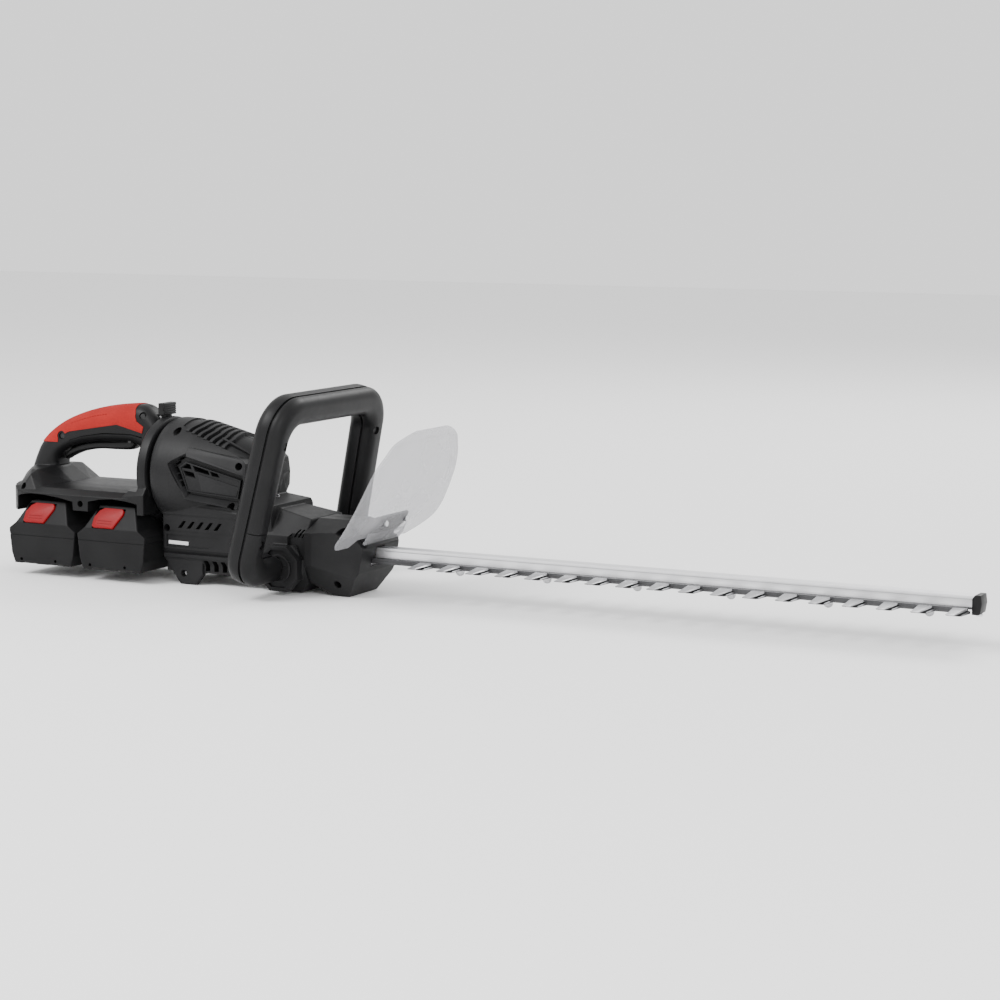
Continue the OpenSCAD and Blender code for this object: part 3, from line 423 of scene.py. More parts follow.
def roof_recess():
    """The space over the shallow roof panel that narrows towards the back."""
    rings = []
    for x, half in ((-226, 26), (-214, 34), (-184.5, 43), (-147, 60), (-137, 63)):
        angles = [half * (i / 12 - 1) for i in range(25)]
        rings.append([on_drum(x, a, 8) for a in angles] + [on_drum(x, a, -1.4) for a in reversed(angles)])
    return sweep(rings)


def panel_face(x):
    """Distance of the side panel from the middle plane."""
    return 52.0 - (x + 227) * 0.115


def pad(outline, high, low, side):
    """A solid on the side of the drum between two levels measured from the panel's face."""
    return prism("y", outline, lambda p: side * (panel_face(p[0]) + high),
                 lambda p: side * (panel_face(p[0]) + low))


def wedge_face(p):
    """Distance of the wedge over the side panel from the middle plane, falling off upwards."""
    lift = max(0, p[1] - (133.1 - 0.266 * (p[0] + 209)))
    return panel_face(p[0]) + 0.7 - lift * (0.64 - 0.007 * (p[0] + 209))


def tapered(outer, inner, high, low, side):
    """A solid that narrows from one outline to another on its way in."""
    return sweep([[(x, side * (panel_face(x) + level), z) for x, z in outline]
                  for outline, level in ((outer, high), (inner, low))])


def bar_outline(x, z, dx, dz, length, width):
    """A small slanted rectangle round a point."""
    norm = math.hypot(dx, dz)
    a, b = (dx / norm * length / 2, dz / norm * length / 2), (-dz / norm * width / 2, dx / norm * width / 2)
    return [(x - a[0] - b[0], z - a[1] - b[1]), (x + a[0] - b[0], z + a[1] - b[1]),
            (x + a[0] + b[0], z + a[1] + b[1]), (x - a[0] + b[0], z - a[1] + b[1])]


# Outlines of the motor housing in x and z, except BLOCK and NECK_SECTION, which are in y and z.
# A dash is its middle in x and z and its direction.
PANEL = [(-227.2, 126.2), (-209, 133.1), (-143.2, 115.6), (-139.2, 114.5), (-140, 100), (-149, 82),
         (-161.8, 83.6), (-208.4, 90.4)]
WEDGE = [(-209, 133.1), (-206.6, 142.8), (-144, 132.6), (-139.8, 128.6), (-139.2, 114.5), (-143.2, 115.6)]
RECESS_RIM = [(-226.4, 126.1), (-207.4, 141.8), (-206.2, 134.4), (-142, 117.2), (-139.9, 104),
              (-148, 84.5), (-158, 84.4), (-207.6, 91.4)]
RECESS_FLOOR = [(-220.8, 125), (-210, 132.6), (-207.5, 132.4), (-143.2, 115.2), (-144, 104),
                (-150.5, 89.5), (-155, 89.7), (-205.6, 95.2)]
INNER_PLATE = [(-216, 122.7), (-207.9, 128.1), (-146, 111.8), (-149.8, 92.4), (-207.3, 97.9)]
INNER_FIELD = [(-213.9, 122.2), (-207.2, 126.7), (-147.5, 110.8), (-150.8, 93.8), (-206.2, 99.1)]
LABEL_FIELD = [(-195.5, 116.4), (-148.5, 104.6), (-151.6, 95.2), (-191, 98.6)]
WINDOWS = [[(-213.2, 122), (-207.1, 126.4), (-203.8, 125.4), (-201.9, 120.5)],
           [(-200.8, 124.6), (-183.7, 120.4), (-181.5, 115.3), (-198.5, 118.8)],
           [(-181.2, 119.5), (-173.1, 117.4), (-170.4, 113.3), (-179.3, 114.6)],
           [(-211.7, 119.3), (-200.1, 117.3), (-197.8, 111.7), (-209, 114)]]
DASHES = [(-213.4, 131.2, 12, 8), (-218, 126.4, 12, 8), (-219.2, 119.8, 14.7, -29.6),
          (-215.9, 112.6, 14.7, -29.6), (-212.6, 105.4, 14.7, -29.6)]
BLOCK = [(-40, 28), (-40, 83), (-34.5, 90), (-30, 112), (30, 112), (34.5, 90), (40, 83), (40, 28),
         (34, 21), (34, 12), (-34, 12), (-34, 21)]
NECK_SIDE = [(-136, 90), (-108, 83.4), (-69, 76), (-69, 13), (-80, 1), (-112, 1), (-136, 14)]
NECK_SECTION = [(-42, 22), (-42, 59), (-38, 64), (-17, 92), (17, 92), (38, 64), (42, 59), (42, 22),
                (30, 0), (-30, 0)]
SIDE_SLOT = [(-224.6, 58.2), (-219.9, 58.2), (-213.9, 65.9), (-217.6, 65.9)]
NECK_SLOT = [(-84.5, 58), (-82.2, 58), (-76.2, 66), (-78.5, 66)]
CREASE = [(-242, 36), (-242, 55.3), (-150, 55.3), (-150, 36)]
SUNK_LABEL = [(-239, 38.4), (-239, 50.8), (-175, 50.8), (-182, 40.2), (-190, 38.4)]
NOSE_POCKET = [(-90, 50), (-90, 58), (-86, 62), (-71, 62), (-71, 36), (-74, 36), (-80, 50)]
COVER_X, COVER_Z = -96, 27


def shifted(outline, dx):
    return [(x + dx, z) for x, z in outline]


def mirrored(points):
    """The points on both sides of the middle plane."""
    return [(x, side * y, z) for side in (-1, 1) for x, y, z in points]


def octagon(x, z, r):
    """An octagon with flats at its top, bottom and sides."""
    return [(x + r * math.cos(math.radians(22.5 + 45 * i)), z + r * math.sin(math.radians(22.5 + 45 * i)))
            for i in range(8)]


def side_panel(body, side):
    """The hexagonal recess with air windows on one side of the drum."""
    wedge = prism("y", WEDGE, lambda p: side * wedge_face(p), lambda p: side * (panel_face(p[0]) - 27))
    join(body, bevel(pad(PANEL, 0.7, -27, side), 0.6, 2), bevel(wedge, 0.6, 2))
    cut(body, tapered(RECESS_RIM, RECESS_FLOOR, 0.9, -5.6, side), pad(RECESS_FLOOR, -5.5, -6.2, side),
        pad(RECESS_RIM, 8, 0.85, side))
    plate = bevel(pad(INNER_PLATE, -2.6, -12, side), 0.35, 2)
    cut(plate, pad(INNER_FIELD, -1, -3.5, side))
    join(plate, bevel(pad(LABEL_FIELD, -2.7, -12, side), 0.3, 2))
    join(body, plate)
    for window in WINDOWS:
        cut(body, pad(window, 2, -16, side))
    for x, z, dx, dz in DASHES:
        cut(body, pad(bar_outline(x, z, dx, dz, 6.0, 2.2), -2, -12, side))


def motor_cover(body, side):
    """Octagonal motor cover with a stepped rim, a ring and spokes."""
    cut(body, prism("y", octagon(COVER_X, COVER_Z, 20.5), side * 49.5, side * 60))
    ring = rod((COVER_X, side * 46, COVER_Z), (COVER_X, side * 51, COVER_Z), 14.5, 48)
    cut(ring, rod((COVER_X, side * 48.2, COVER_Z), (COVER_X, side * 60, COVER_Z), 12, 48))
    join(body, bevel(ring, 0.4, 2))
    for angle in (20, 110, 200, 290):
        c, s = math.cos(math.radians(angle)), math.sin(math.radians(angle))
        spoke = prism("y", bar_outline(COVER_X + 9 * c, COVER_Z + 9 * s, c, s, 10, 2.4), side * 46,
                      side * 50.2)
        join(body, bevel(spoke, 0.3, 2))
    join(body, bevel(rod((COVER_X, side * 46, COVER_Z), (COVER_X, side * 50.6, COVER_Z), 4, 32), 0.4, 2))


def drive_space():
    """Room in housing and nose for the gear case, the rear ends of the blades and the crankshaft."""
    side = [(-92, 18.5), (-21, 18.5), (-14, 30), (-9, 46), (-9.5, 50), (-15.5, 60), (-92, 60)]
    return prism("y", side, -33, 33)


def build_housing():
    """Round drum, square block under it and neck to the nose, with foot plates, vents and screw holes."""
    body = lathe([(0, DRUM_STEPS[0][0])] + [(r, x) for x, r in DRUM_STEPS] + [(0, DRUM_STEPS[-1][0])])
    block = overlap(prism("x", BLOCK, -243, -110),
                    prism("y", [(-243, 12), (-243, 112), (-140, 112), (-138, 92), (-110, 88), (-110, 12)],
                          -60, 60))
    neck = overlap(prism("y", NECK_SIDE, -60, 60), prism("x", NECK_SECTION, -137, -69))
    join(body, block, neck)
    for side in (-1, 1):
        boss = prism("y", octagon(COVER_X, COVER_Z, 25), side * 40, side * 52)
        foot = prism("y", [(-241, 24), (-224, 0), (-205, 0), (-196, 11), (-196, 24)], side * 31, side * 38)
        shoulder = []
        for x, top in ((-243, 84.5), (-180, 79.3), (-140, 76)):
            section = ((38, 70), (40.8, 72), (41.2, top), (35, top + 5), (30, top))
            shoulder.append([(x, side * y, z) for y, z in section])
        join(body, boss, foot, sweep(shoulder))
    mould(body, 0.85, 2)
    cut(body, roof_recess())
    for side in (-1, 1):
        side_panel(body, side)
        motor_cover(body, side)
        rib = sweep([[on_drum(x, a0 + da, out, side)
                      for da, out in ((0, -3), (0.6, 1.3), (3.4, 1.3), (4.4, -3))]
                     for x, a0 in ((-178, 30), (-165, 34.6), (-147, 41.5), (-141, 44))])
        join(body, rib, *[louvre(-217.2 + 7.5 * i, 34 + 2.2 * i, 0, side, 3.3, -3, 0.9) for i in range(7)])
        cuts = [louvre(-213.5 + 7.5 * i, 34 + 2.2 * i, 17, side, 3.9, -7, 5) for i in range(5)]
        for i in range(5):
            cuts.append(prism("y", shifted(SIDE_SLOT, 11 * i), side * 28, side * 46))
        for i in range(4):
            cuts.append(prism("y", shifted(NECK_SLOT, 4.6 * i), side * 28, side * 50))
            cuts.append(box((-194.5 + 10.4 * i, min(side * 22, side * 45), 14.5),
                            (-189 + 10.4 * i, max(side * 22, side * 45), 26)))
        lip = [(side * 42, 31), (side * 37, 31.6), (side * 38.4, 36), (side * 42, 36.4)]
        cuts += [prism("y", CREASE, side * 39.2, side * 46), prism("y", SUNK_LABEL, side * 38.2, side * 46),
                 prism("x", lip, -242.5, -136), prism("y", NOSE_POCKET, side * 39, side * 50),
                 rod((-219, side * 29, 11), (-219, side * 40, 11), 3.6)]
        cut(body, *cuts)
    cut(body, drive_space())
    holes = [rod((x, -70, z), (x, -19.5, z), SCREW_R + 0.5)
             for x, z in ((-228, 157), (-147.5, 126), (-156, 84.5), (-238, 57.5))]
    cut(body, box((-256, -0.45, SWIVEL_Z + 30), (-130, 0.45, SWIVEL_Z + 60)),
        box((-250, -0.45, -2), (-60, 0.45, 13)), *holes)
    return piece(body, "motor_housing", "tool_body", HOUSING,
                 ("motor_housing_right", "motor_housing_left"))


def build_name_plate():
    plate = prism("y", [(-236.6, 41), (-236.6, 44.6), (-212.4, 44.2), (-212.4, 40.6)], -39.1, -38.0)
    bevel(plate, 0.15, 1)
    return piece(plate, "rating_strip", "tool_body", PLATE)


# ---------------------------------------------------------------- nose
def build_nose():
    """Faceted nose round the gear case, open at the front for the bar and the blades."""
    front = -5.5
    side = [(-68.7, 13), (-47, 0), (-26.8, 0), (-10.6, 26), (front, 51), (-27.5, 76), (-68.7, 76)]
    section = [(-45, 31), (-45, 64), (-16, 76), (16, 76), (45, 64), (45, 31), (27, 0), (-27, 0)]
    plan = [(-68.7, -45), (-60, -45), (front, -36.5), (front, 36.5), (-60, 45), (-68.7, 45)]
    body = overlap(prism("y", side, -60, 60), prism("x", section, -68.7, front), prism("z", plan, -1, 90))
    mould(body, 0.8, 2)
    cut(body, box((-30, -8.2, 30), (4, 8.2, 50)), box((-30, -14.2, 30), (4, 14.2, 38.9)))
    cut(body, drive_space())
    cuts = [rod((x, -60, z), (x, -19.5, z), SCREW_R + 0.6) for x, z in ((-30, 66), (-36, 13))]
    cuts += [box((-80, -0.45, 70), (4, 0.45, 90)), box((-80, -0.45, -4), (4, 0.45, 3))]
    cut(body, *cuts)
    return piece(body, "nose_cover", "tool_body", HOUSING,
                 ("nose_cover_right", "nose_cover_left"))


# ---------------------------------------------------------------- front loop
LOOP_LEAN = math.radians(13)
LOOP_X, LOOP_Z = -108.9, 15.0
FOOT_W, TOP_W, LOOP_H, LEG = 113.0, 105.0, 193.0, 27.0


def in_loop(x, y, h):
    """A point given in the loop's own plane."""
    c, s = math.cos(LOOP_LEAN), math.sin(LOOP_LEAN)
    return (LOOP_X + x * c + h * s, y, LOOP_Z - x * s + h * c)


def arc(cx, cy, r, a0, a1, n=14):
    return [(cx + r * math.cos(math.radians(a0 + (a1 - a0) * i / n)),
             cy + r * math.sin(math.radians(a0 + (a1 - a0) * i / n))) for i in range(n + 1)]


def loop_path(foot, top, height, low, r_foot, r_top):
    """A closed outline with the same number of points whatever its size."""
    left = arc(foot - r_foot, low + r_foot, r_foot, -90, 0) + arc(top - r_top, height - r_top, r_top, 0, 90)
    right = [(-y, h) for y, h in reversed(left)]
    return left + right


OUTER = loop_path(FOOT_W, TOP_W, LOOP_H, 0, 30, 40)
INNER = loop_path(FOOT_W - LEG, TOP_W - LEG, LOOP_H - 28.5, 26, 14, 20)


def opening(h):
    """Half width of the loop's opening at a height in its own plane."""
    return FOOT_W - LEG - (FOOT_W - TOP_W) * h / LOOP_H


def loop_ring(section, name):
    """Sweeps a section round the loop. Section points are (x, u), u from 0 outside to 1 inside."""
    rings = []
    for (yo, ho), (yi, hi) in zip(OUTER, INNER):
        rings.append([in_loop(x, yo + (yi - yo) * u, ho + (hi - ho) * u) for x, u in section])
    return sweep(rings, closed=True, name=name)


def half_section(x_seam, x_face, radius):
    """Half of the loop's section: flat at the seam and rounded at its face."""
    sign = 1 if x_face > x_seam else -1
    ru = radius / LEG
    notch = 0.075
    pts = [(x_seam, 0.2), (x_seam, notch), (x_seam + sign * 1.5, notch), (x_seam + sign * 1.5, 0.012),
           (x_seam + sign * 2.4, 0)]
    for i in range(9):
        t = math.radians(90 * i / 8)
        pts.append((x_face - sign * radius * (1 - math.sin(t)), ru * (1 - math.cos(t))))
    for i in range(9):
        t = math.radians(90 * i / 8)
        pts.append((x_face - sign * radius * (1 - math.cos(t)), 1 - ru * (1 - math.sin(t))))
    pts += [(x_seam + sign * 2.2, 1), (x_seam + sign * 1.3, 0.988), (x_seam + sign * 1.3, 1 - notch),
            (x_seam, 1 - notch), (x_seam, 0.8)]
    return pts


def build_loop():
    """Rear and front shell of the loop handle, and the dark core seen in the seam between them."""
    seam = 2.0
    made = []
    pocket_y = opening(93) + 8
    under_neck = ((-165, -52.2, 0), (-40, 52.2, 62))
    for name, face, node in (("loop_rear", -17, "loop_rear_shell"), ("loop_front", 15, "loop_front_shell")):
        ring = loop_ring(half_section(seam, face, 10.5), name)
        cut(ring, box(*under_neck))
        corners = ((-12, 60), (12, 60), (12, pocket_y), (-12, pocket_y))
        cuts = [sweep([[in_loop(x, -y, h) for x, y in corners] for h in (91.5, 132.5)])]
        if face > 0:
            for y, h in ((-87, 147), (87, 147), (-98, 47), (98, 47)):
                cuts.append(rod(in_loop(9, y, h), in_loop(40, y, h), SCREW_R + 0.9))
            for y0, y1 in ((-120, -80), (80, 120)):
                corners = ((2.5, y0), (20, y0), (20, y1), (2.5, y1))
                cuts.append(sweep([[in_loop(x, y, h) for x, y in corners] for h in (57.6, 58.4)]))
        cut(ring, *cuts)
        made.append(piece(ring, name, "tool_body", HANDLE, (node,), 32))
    core = loop_ring([(seam - 2, 0.08), (seam + 2, 0.08), (seam + 2, 0.3), (seam - 2, 0.3)], "loop_core")
    cut(core, box(*under_neck))
    made.append(piece(core, "loop_core", "tool_body", BLACK))
    return made


def build_paddle():
    """Ribbed switch paddle in the inner face of the right leg."""
    outline = [(93, -5), (93, 1), (94.5, 4), (97.5, 4.4), (99.5, 3), (105, 5.6), (113, 8), (116, 8.4),
               (119, 4.4), (122, 8.8), (126, 9.4), (129, 7), (131, 2), (131, -5)]
    rings = []
    for x, shrink in ((-10.6, 1.6), (-9.4, 0.5), (-7.5, 0), (7.5, 0), (9.4, 0.5), (10.6, 1.6)):
        rings.append([in_loop(x, -opening(h) + u - shrink * (u > 0), h) for h, u in outline])
    body = sweep(rings)
    return piece(body, "loop_paddle", "loop_paddle", BLACK, ("front_paddle",), 30)


# ---------------------------------------------------------------- rear handle
def superellipse(low, high, half_width, power=2.7, count=40):
    """A rounded section between two points of the middle plane."""
    lo, hi = Vector((low[0], 0, low[1])), Vector((high[0], 0, high[1]))
    mid, up = (lo + hi) / 2, (hi - lo) / 2
    ring = []
    for i in range(count):
        t = 2 * math.pi * i / count
        c, s = math.cos(t), math.sin(t)
        u = math.copysign(abs(s) ** (2 / power), s)
        v = math.copysign(abs(c) ** (2 / power), c)
        ring.append(mid + up * u + Vector((0, half_width * v, 0)))
    return ring


def smooth_rows(rows, steps=6):
    """Catmull-Rom through rows of numbers."""
    out = []
    for i in range(len(rows) - 1):
        p0, p1, p2, p3 = rows[max(i - 1, 0)], rows[i], rows[i + 1], rows[min(i + 2, len(rows) - 1)]
        for k in range(steps):
            t = k / steps
            out.append([0.5 * (2 * b + (c - a) * t + (2 * a - 5 * b + 4 * c - d) * t * t
                               + (3 * b - a - 3 * c + d) * t ** 3)
                        for a, b, c, d in zip(p0, p1, p2, p3)])
    return out + [list(rows[-1])]


# underside x, z, top x, z and half width along the grip, from the deck round to the collar
GRIP = [
    (-396, 100, -435, 100, 18.4), (-397, 107, -432.6, 108, 18), (-397.5, 114, -427.5, 120, 17.6),
    (-393, 122, -420, 134, 17.2), (-383, 128.5, -407, 147, 17), (-370, 133, -389, 158.5, 17),
    (-356, 135.6, -367, 167.5, 17.2), (-338, 137, -342, 174.3, 17.6), (-318, 137.4, -318, 178.2, 17.8),
    (-302, 137.2, -296, 180, 17.6), (-290, 133.5, -284, 178.6, 17.6), (-280, 127, -273, 170, 18),
    (-270, 118, -262, 156, 20)]


def grip_rings(grow=0.0):
    """The sections of the grip, grown or shrunk by an amount all round."""
    rings = []
    for lx, lz, tx, tz, half in smooth_rows(GRIP, 7):
        d = Vector((tx - lx, 0, tz - lz)).normalized() * grow
        rings.append(superellipse((lx - d.x, lz - d.z), (tx + d.x, tz + d.z), half + grow))
    return rings


# side view of the red overmould
RED = [(-440, 135.8), (-393.2, 136.2), (-392, 145.2), (-384, 145.4), (-377.7, 148.2), (-345, 153.6),
       (-315.3, 158.4), (-283, 150.8), (-281.4, 157.5), (-290.2, 163), (-291.4, 170), (-293.5, 176),
       (-294.5, 190), (-440, 190)]
COLLAR = [(0, -266), (50, -266), (54, -265), (56, -262.5), (56, -256.5), (55.4, -254), (53.6, -252.9),
          (0, -252.9)]
STERN = [(-417, -57), (-425, -50), (-431, -40), (-434.4, -30), (-435.8, -18), (-435.8, 18), (-434.4, 30),
         (-431, 40), (-425, 50), (-417, 57)]
RAISED = [(-435.5, 26, 88), (-435.3, 24, 94), (-432.5, 21, 102), (-427, 18, 108.5), (-420, 18, 110.6),
          (-400, 13, 110.6), (-375, 15, 93.8), (-412, 57, 88), (-411.5, 54, 93), (-421, 47, 93),
          (-406, 48, 104), (-412, 38, 108.6), (-404, 39, 108.5), (-403, 50, 99.5), (-393, 56, 88),
          (-390, 49, 93), (-390, 49, 86), (-375, 15, 86)]
SHOULDER = [(-262, 60, 71), (-253, 60, 71), (-262, 60, 91), (-253, 60, 92), (-280, 59, 89),
            (-266, 44, 108), (-253, 44, 112), (-280, 40, 97)]
HAND_HOLE = [(-398.5, 110.7), (-398.5, 117), (-388, 126), (-370, 131.5), (-347, 135.5), (-303, 136.5),
             (-288, 133), (-276, 126), (-264, 124), (-264, 95), (-291, 95.1), (-374, 95.1), (-380.5, 98.5),
             (-400, 110.7)]
TRIGGER_HOLE = [(-394, 116), (-394, 126), (-388, 137), (-371, 141), (-345, 144), (-306, 146), (-296, 144),
                (-296, 129), (-303, 126), (-370, 117)]
SIDE_GROOVE = [(-391, 124), (-386, 132.5), (-378, 140), (-362, 144.6), (-334, 149), (-300, 149.6),
               (-284, 147)]


def build_handle():
    """Collar, deck over the two battery bays and arched grip with its red overmould."""
    body = sweep(grip_rings(), name="grip")
    deck = overlap(
        prism("x", [(-60, 71), (-60, 87), (-50, 92), (-36, 93.6), (-18, 94.6), (18, 94.6), (36, 93.6),
                    (50, 92), (60, 87), (60, 71)], -435.8, -253),
        prism("z", [(-253, -60), (-406, -60), *STERN, (-406, 60), (-253, 60)], 60, 120))
    join(body, lathe(COLLAR), deck, hull(mirrored(RAISED)), hull(mirrored(SHOULDER)),
         prism("z", STERN, 66.5, 76))
    mould(body, 0.85, 3)
    arches = [[(-416, 56), (-416, 82), (-410, 84.3), (-398, 85.9), (-382, 85.7), (-362, 83.6),
               (-343, 80.4), (-341.2, 56)],
              [(-324, 60), (-323, 81.6), (-308, 84.8), (-292, 86), (-274, 84.6), (-261, 82.4), (-261, 60)]]
    # the bays are open on the right side, with a post between them
    for arch in arches:
        cut(body, prism("y", arch, -80, 51))
    cut(body, prism("y", [(-341.5, 60), (-341.5, 70.5), (-324, 70.5), (-324, 60)], -80, 80))
    cut(body, prism("y", HAND_HOLE, -60, 60))
    join(body, lathe(COLLAR))
    cuts = [prism("y", TRIGGER_HOLE, -9.6, 9.6),
            rod((-388, -30, 143), (-388, -12.5, 143), SCREW_R + 0.2),
            rod((-283.5, -30, 169), (-283.5, -12.5, 169), SCREW_R + 0.4),
            rod((-333, -80, 78.6), (-333, -50, 78.6), SCREW_R),
            rod((-411, -90, 92.4), (-411, -48, 92.4), SCREW_R),
            box((-340, -0.4, 177.2), (-268, 0.4, 190)), box((-430, -0.4, 100), (-422, 0.4, 112))]
    latch = cad("latch_slide")
    cuts.append(box((latch[0][0] - 5.6, latch[0][1] - 0.4, SWIVEL_Z + DRUM_R + 0.4),
                    (-240, latch[1][1] + 0.4, 190)))
    cuts.append(box((latch[0][0] - 6.5, -5.3, SWIVEL_Z + DRUM_R - 4.3), (latch[1][0] + 1, 5.3, 190)))
    for side in (-1, 1):
        rings = []
        for x, top in SIDE_GROOVE:
            section = ((17.9, top), (15.6, top - 0.9), (17.9, top - 2.4), (22, top - 1))
            rings.append([(x, side * y, z) for y, z in section])
        cuts.append(sweep(rings))
    cut(body, *cuts)
    shell = piece(body, "rear_handle", "rear_handle", HANDLE,
                  ("handle_shell_right", "handle_shell_left"))
    grip = sweep(grip_rings(0.7), name="red")
    overlap(grip, prism("y", RED, -40, 40))
    cut(grip, sweep(grip_rings(-2.0), name="core"))
    marks = [bar_outline(-374 + 3.4 * i, 157.3 + 1.224 * i - 0.0277 * i * i, 1, 0.3, 2.2, 0.8)
             for i in range(14)]
    dots = join(*[prism("y", mark, side * 5, side * 30) for side in (-1, 1) for mark in marks])
    cut(grip, cut(dots, sweep(grip_rings(0.25), name="dots")))
    bevel(grip, 0.35, 2, 50)
    cut(grip, rod((-388, -30, 143), (-388, 30, 143), 5.4),
        rod((-283.5, -30, 169.5), (-283.5, 30, 169.5), 8.4, 48))
    red = piece(grip, "red_grip", "rear_handle", GRIP_RED, ("red_grip",))
    return shell, red


def build_trigger():
    rows = [(-391, 117, -391, 122, 6.5), (-386, 120, -386, 128, 8), (-370, 126, -370, 134.5, 8.6),
            (-347, 130, -347, 138.5, 8.8), (-325, 130.4, -325, 140, 8.8), (-306, 131.3, -306, 143, 8.8),
            (-300.5, 135.5, -302, 144, 8)]
    body = sweep([superellipse((a, b), (c, d), w, 3.4, 32) for a, b, c, d, w in smooth_rows(rows, 5)])
    cut(body, rod((-303, -20, 141), (-303, 20, 141), 2.05))
    return piece(body, "trigger", "trigger", BLACK, ("trigger",))


def build_latch():
    """Ridged lock block that stands on the collar."""
    low, high = cad("latch_slide")
    foot = SWIVEL_Z + DRUM_R + 1.5
    body = bevel(box((low[0], low[1], foot), (high[0], high[1], high[2])), 0.9, 3)
    join(body, bevel(box((low[0] + 0.7, -5, low[2]), (high[0] - 1.3, 5, foot + 1)), 0.4, 2))
    cut(body, *[box((high[0] - 1.0, low[1] - 1, foot + 1.6 + 2.3 * i),
                    (high[0] + 1, high[1] + 1, foot + 2.6 + 2.3 * i)) for i in range(4)])
    cut(body, *[box((low[0] + 1.6 + 2.2 * i, low[1] - 1, high[2] - 0.9),
                    (low[0] + 2.5 + 2.2 * i, high[1] + 1, high[2] + 1)) for i in range(2)])
    return piece(body, "latch_slide", "lock_slide", BLACK, ("latch_slide",))


# ---------------------------------------------------------------- battery packs
PACK_HALF = [(36, 12), (40, 23), (42.5, 46), (42.5, 49), (33.5, 55.5), (22, 78)]


def build_pack(which, centre):
    """One battery pack and its release button, with the pack's middle at a place along the tool."""
    body_name = f"{which}_battery"
    outline = PACK_HALF + [(-x, z) for x, z in reversed(PACK_HALF)]
    solid = prism("y", [(centre + x, z) for x, z in outline], -66, 50)
    slope = [(-76, 55), (-66, 55), (-52.6, 78.2), (-52.6, 100), (-76, 100)]
    cut(solid, prism("x", slope, centre - 60, centre + 60))
    cut(solid, prism("x", [(-67, 55.5), (-64.8, 56.5), (-53, 77), (-52, 80), (-50, 80), (-62, 56)],
                     centre - 21, centre - 18.6))
    for sign in (-1, 1):
        corner = [(centre + sign * x, z) for x, z in ((44, 24), (40.2, 24), (39, 11), (44, 11))]
        cut(solid, prism("y", corner, -70, -62))
    cut(solid, box((centre - 26, -70, 11), (centre - 8, -64.5, 14)),
        box((centre + 8, -70, 11), (centre + 26, -64.5, 14)))
    mould(solid, 0.8, 4)
    notch = Matrix.Translation((centre - 9, -60.2, 65.5)) @ Matrix.Rotation(math.radians(60), 4, "X")
    well = prism("z", [(-15.2, -11.7), (12.6, -11.7), (20.8, 4.6), (20.8, 11.7), (-15.2, 11.7)], -6, 9)
    well.data.transform(notch)
    seam = cut(box((centre - 46.2, -80, 41.6), (centre + 46.2, 60, 42.5)),
               box((centre - 41.6, -65.3, 40), (centre + 41.6, 49.4, 44)))
    feet = [rod((centre + x, -70, 16.5), (centre + x, -62, 16.5), 1.7) for x in (-27, 17)]
    cut(solid, well, seam, *feet)
    made = [piece(solid, f"{which}_pack_case", body_name, PACK,
                  (f"{which}_pack_top", f"{which}_pack_base"))]
    button = prism("z", [(-14.6, -9.5), (-12, -11.2), (12.1, -11.2), (20.2, 4.8), (20.2, 8.6), (18, 11.2),
                         (-4.5, 11.2), (-10, 8), (-14.6, 0.5)], -2, 1.9)
    bevel(button, 0.9, 3)
    cut(button, *[box((-7.99, -7.2 + 3.0 * i, 1.5), (9.5, -6.4 + 3.0 * i, 3)) for i in range(2)])
    button.data.transform(notch)
    made.append(piece(button, f"{which}_pack_button", f"{which}_battery_button", BUTTON_RED,
                      (f"{which}_pack_button",)))
    return made


# ---------------------------------------------------------------- blades, guard and bar fittings
PITCH, TEETH = 32.0, 18
BOLT_FIRST, BOLT_STEP, BOLTS = 84.5, 96.0, 6


def build_blade(node, body, first_x):
    """Spine and teeth; each tooth slopes down to its tip and has bevels along its two sides."""
    low, high = cad(node)
    reach, z0, z1 = high[1], low[2], high[2]
    spine = 13.0
    last = first_x + PITCH * (TEETH - 1)
    blade = box((low[0], -25, z0), (-26.6, 25, z1))
    join(blade, box((-40, -spine, z0), (min(last + 6, high[0]), spine, z1)))
    foot = [(-7, spine - 2), (-7, spine), (-4.4, reach - 2), (-3, reach), (3, reach), (4.4, reach - 2),
            (7, spine), (7, spine - 2)]
    crown = [(-7, spine - 2), (-6.2, spine), (-3.6, reach - 3), (-2.5, reach - 1.4), (2.5, reach - 1.4),
             (3.6, reach - 3), (6.2, spine), (7, spine - 2)]
    slope = lambda y: z1 - 0.12 - 1.35 * ease((y - spine - 4) / (reach - spine - 4))
    for i in range(TEETH):
        x = first_x + PITCH * i
        for s in (-1, 1):
            rings = [[(x + p[0], s * p[1], z0) for p in foot],
                     [(x + p[0], s * p[1], z0 + 0.6) for p in foot],
                     [(x + p[0], s * p[1], slope(p[1])) for p in crown]]
            join(blade, sweep(rings))
    # slots that let the bar bolts through over the whole stroke
    shift = -1 if node == "upper_blade" else 1
    for k in range(BOLTS):
        bolt = BOLT_FIRST + BOLT_STEP * k
        slot = [(bolt + shift + sx * 8 + 4.3 * math.cos(math.radians(a)), 4.3 * math.sin(math.radians(a)))
                for sx, r in ((1, range(-90, 91, 15)), (-1, range(90, 271, 15))) for a in r]
        cut(blade, prism("z", slot, z0 - 1, z1 + 1))
    cap = cad("tip_cap")
    cut(blade, box((cap[0][0] - 9, cap[0][1] - 0.3, z0 - 1), (cap[1][0] + 20, cap[1][1] + 0.3, z1 + 1)))
    yoke = 13.4
    centre = -45 if node == "upper_blade" else -43
    cut(blade, box((centre - yoke, -21.4, z0 - 1), (centre + yoke, 21.4, z1 + 1)))
    piece(blade, node + "_steel", body, [BLADE, GROUND], (node,), 20)
    # Tooth faces beyond the spine that face upwards take the pale ground steel. This is partly the real
    # ground finish and partly a painted highlight where light from above falls. On the lower blade the flat
    # tooth tops keep the dark steel as painted shade under the upper blade.
    least, most = (0.3, 2) if node == "upper_blade" else (0.15, 0.95)
    for face in blade.data.polygons:
        if abs(face.center.y) > 0.0135 and least < face.normal.z < most:
            face.material_index = 1
    return blade


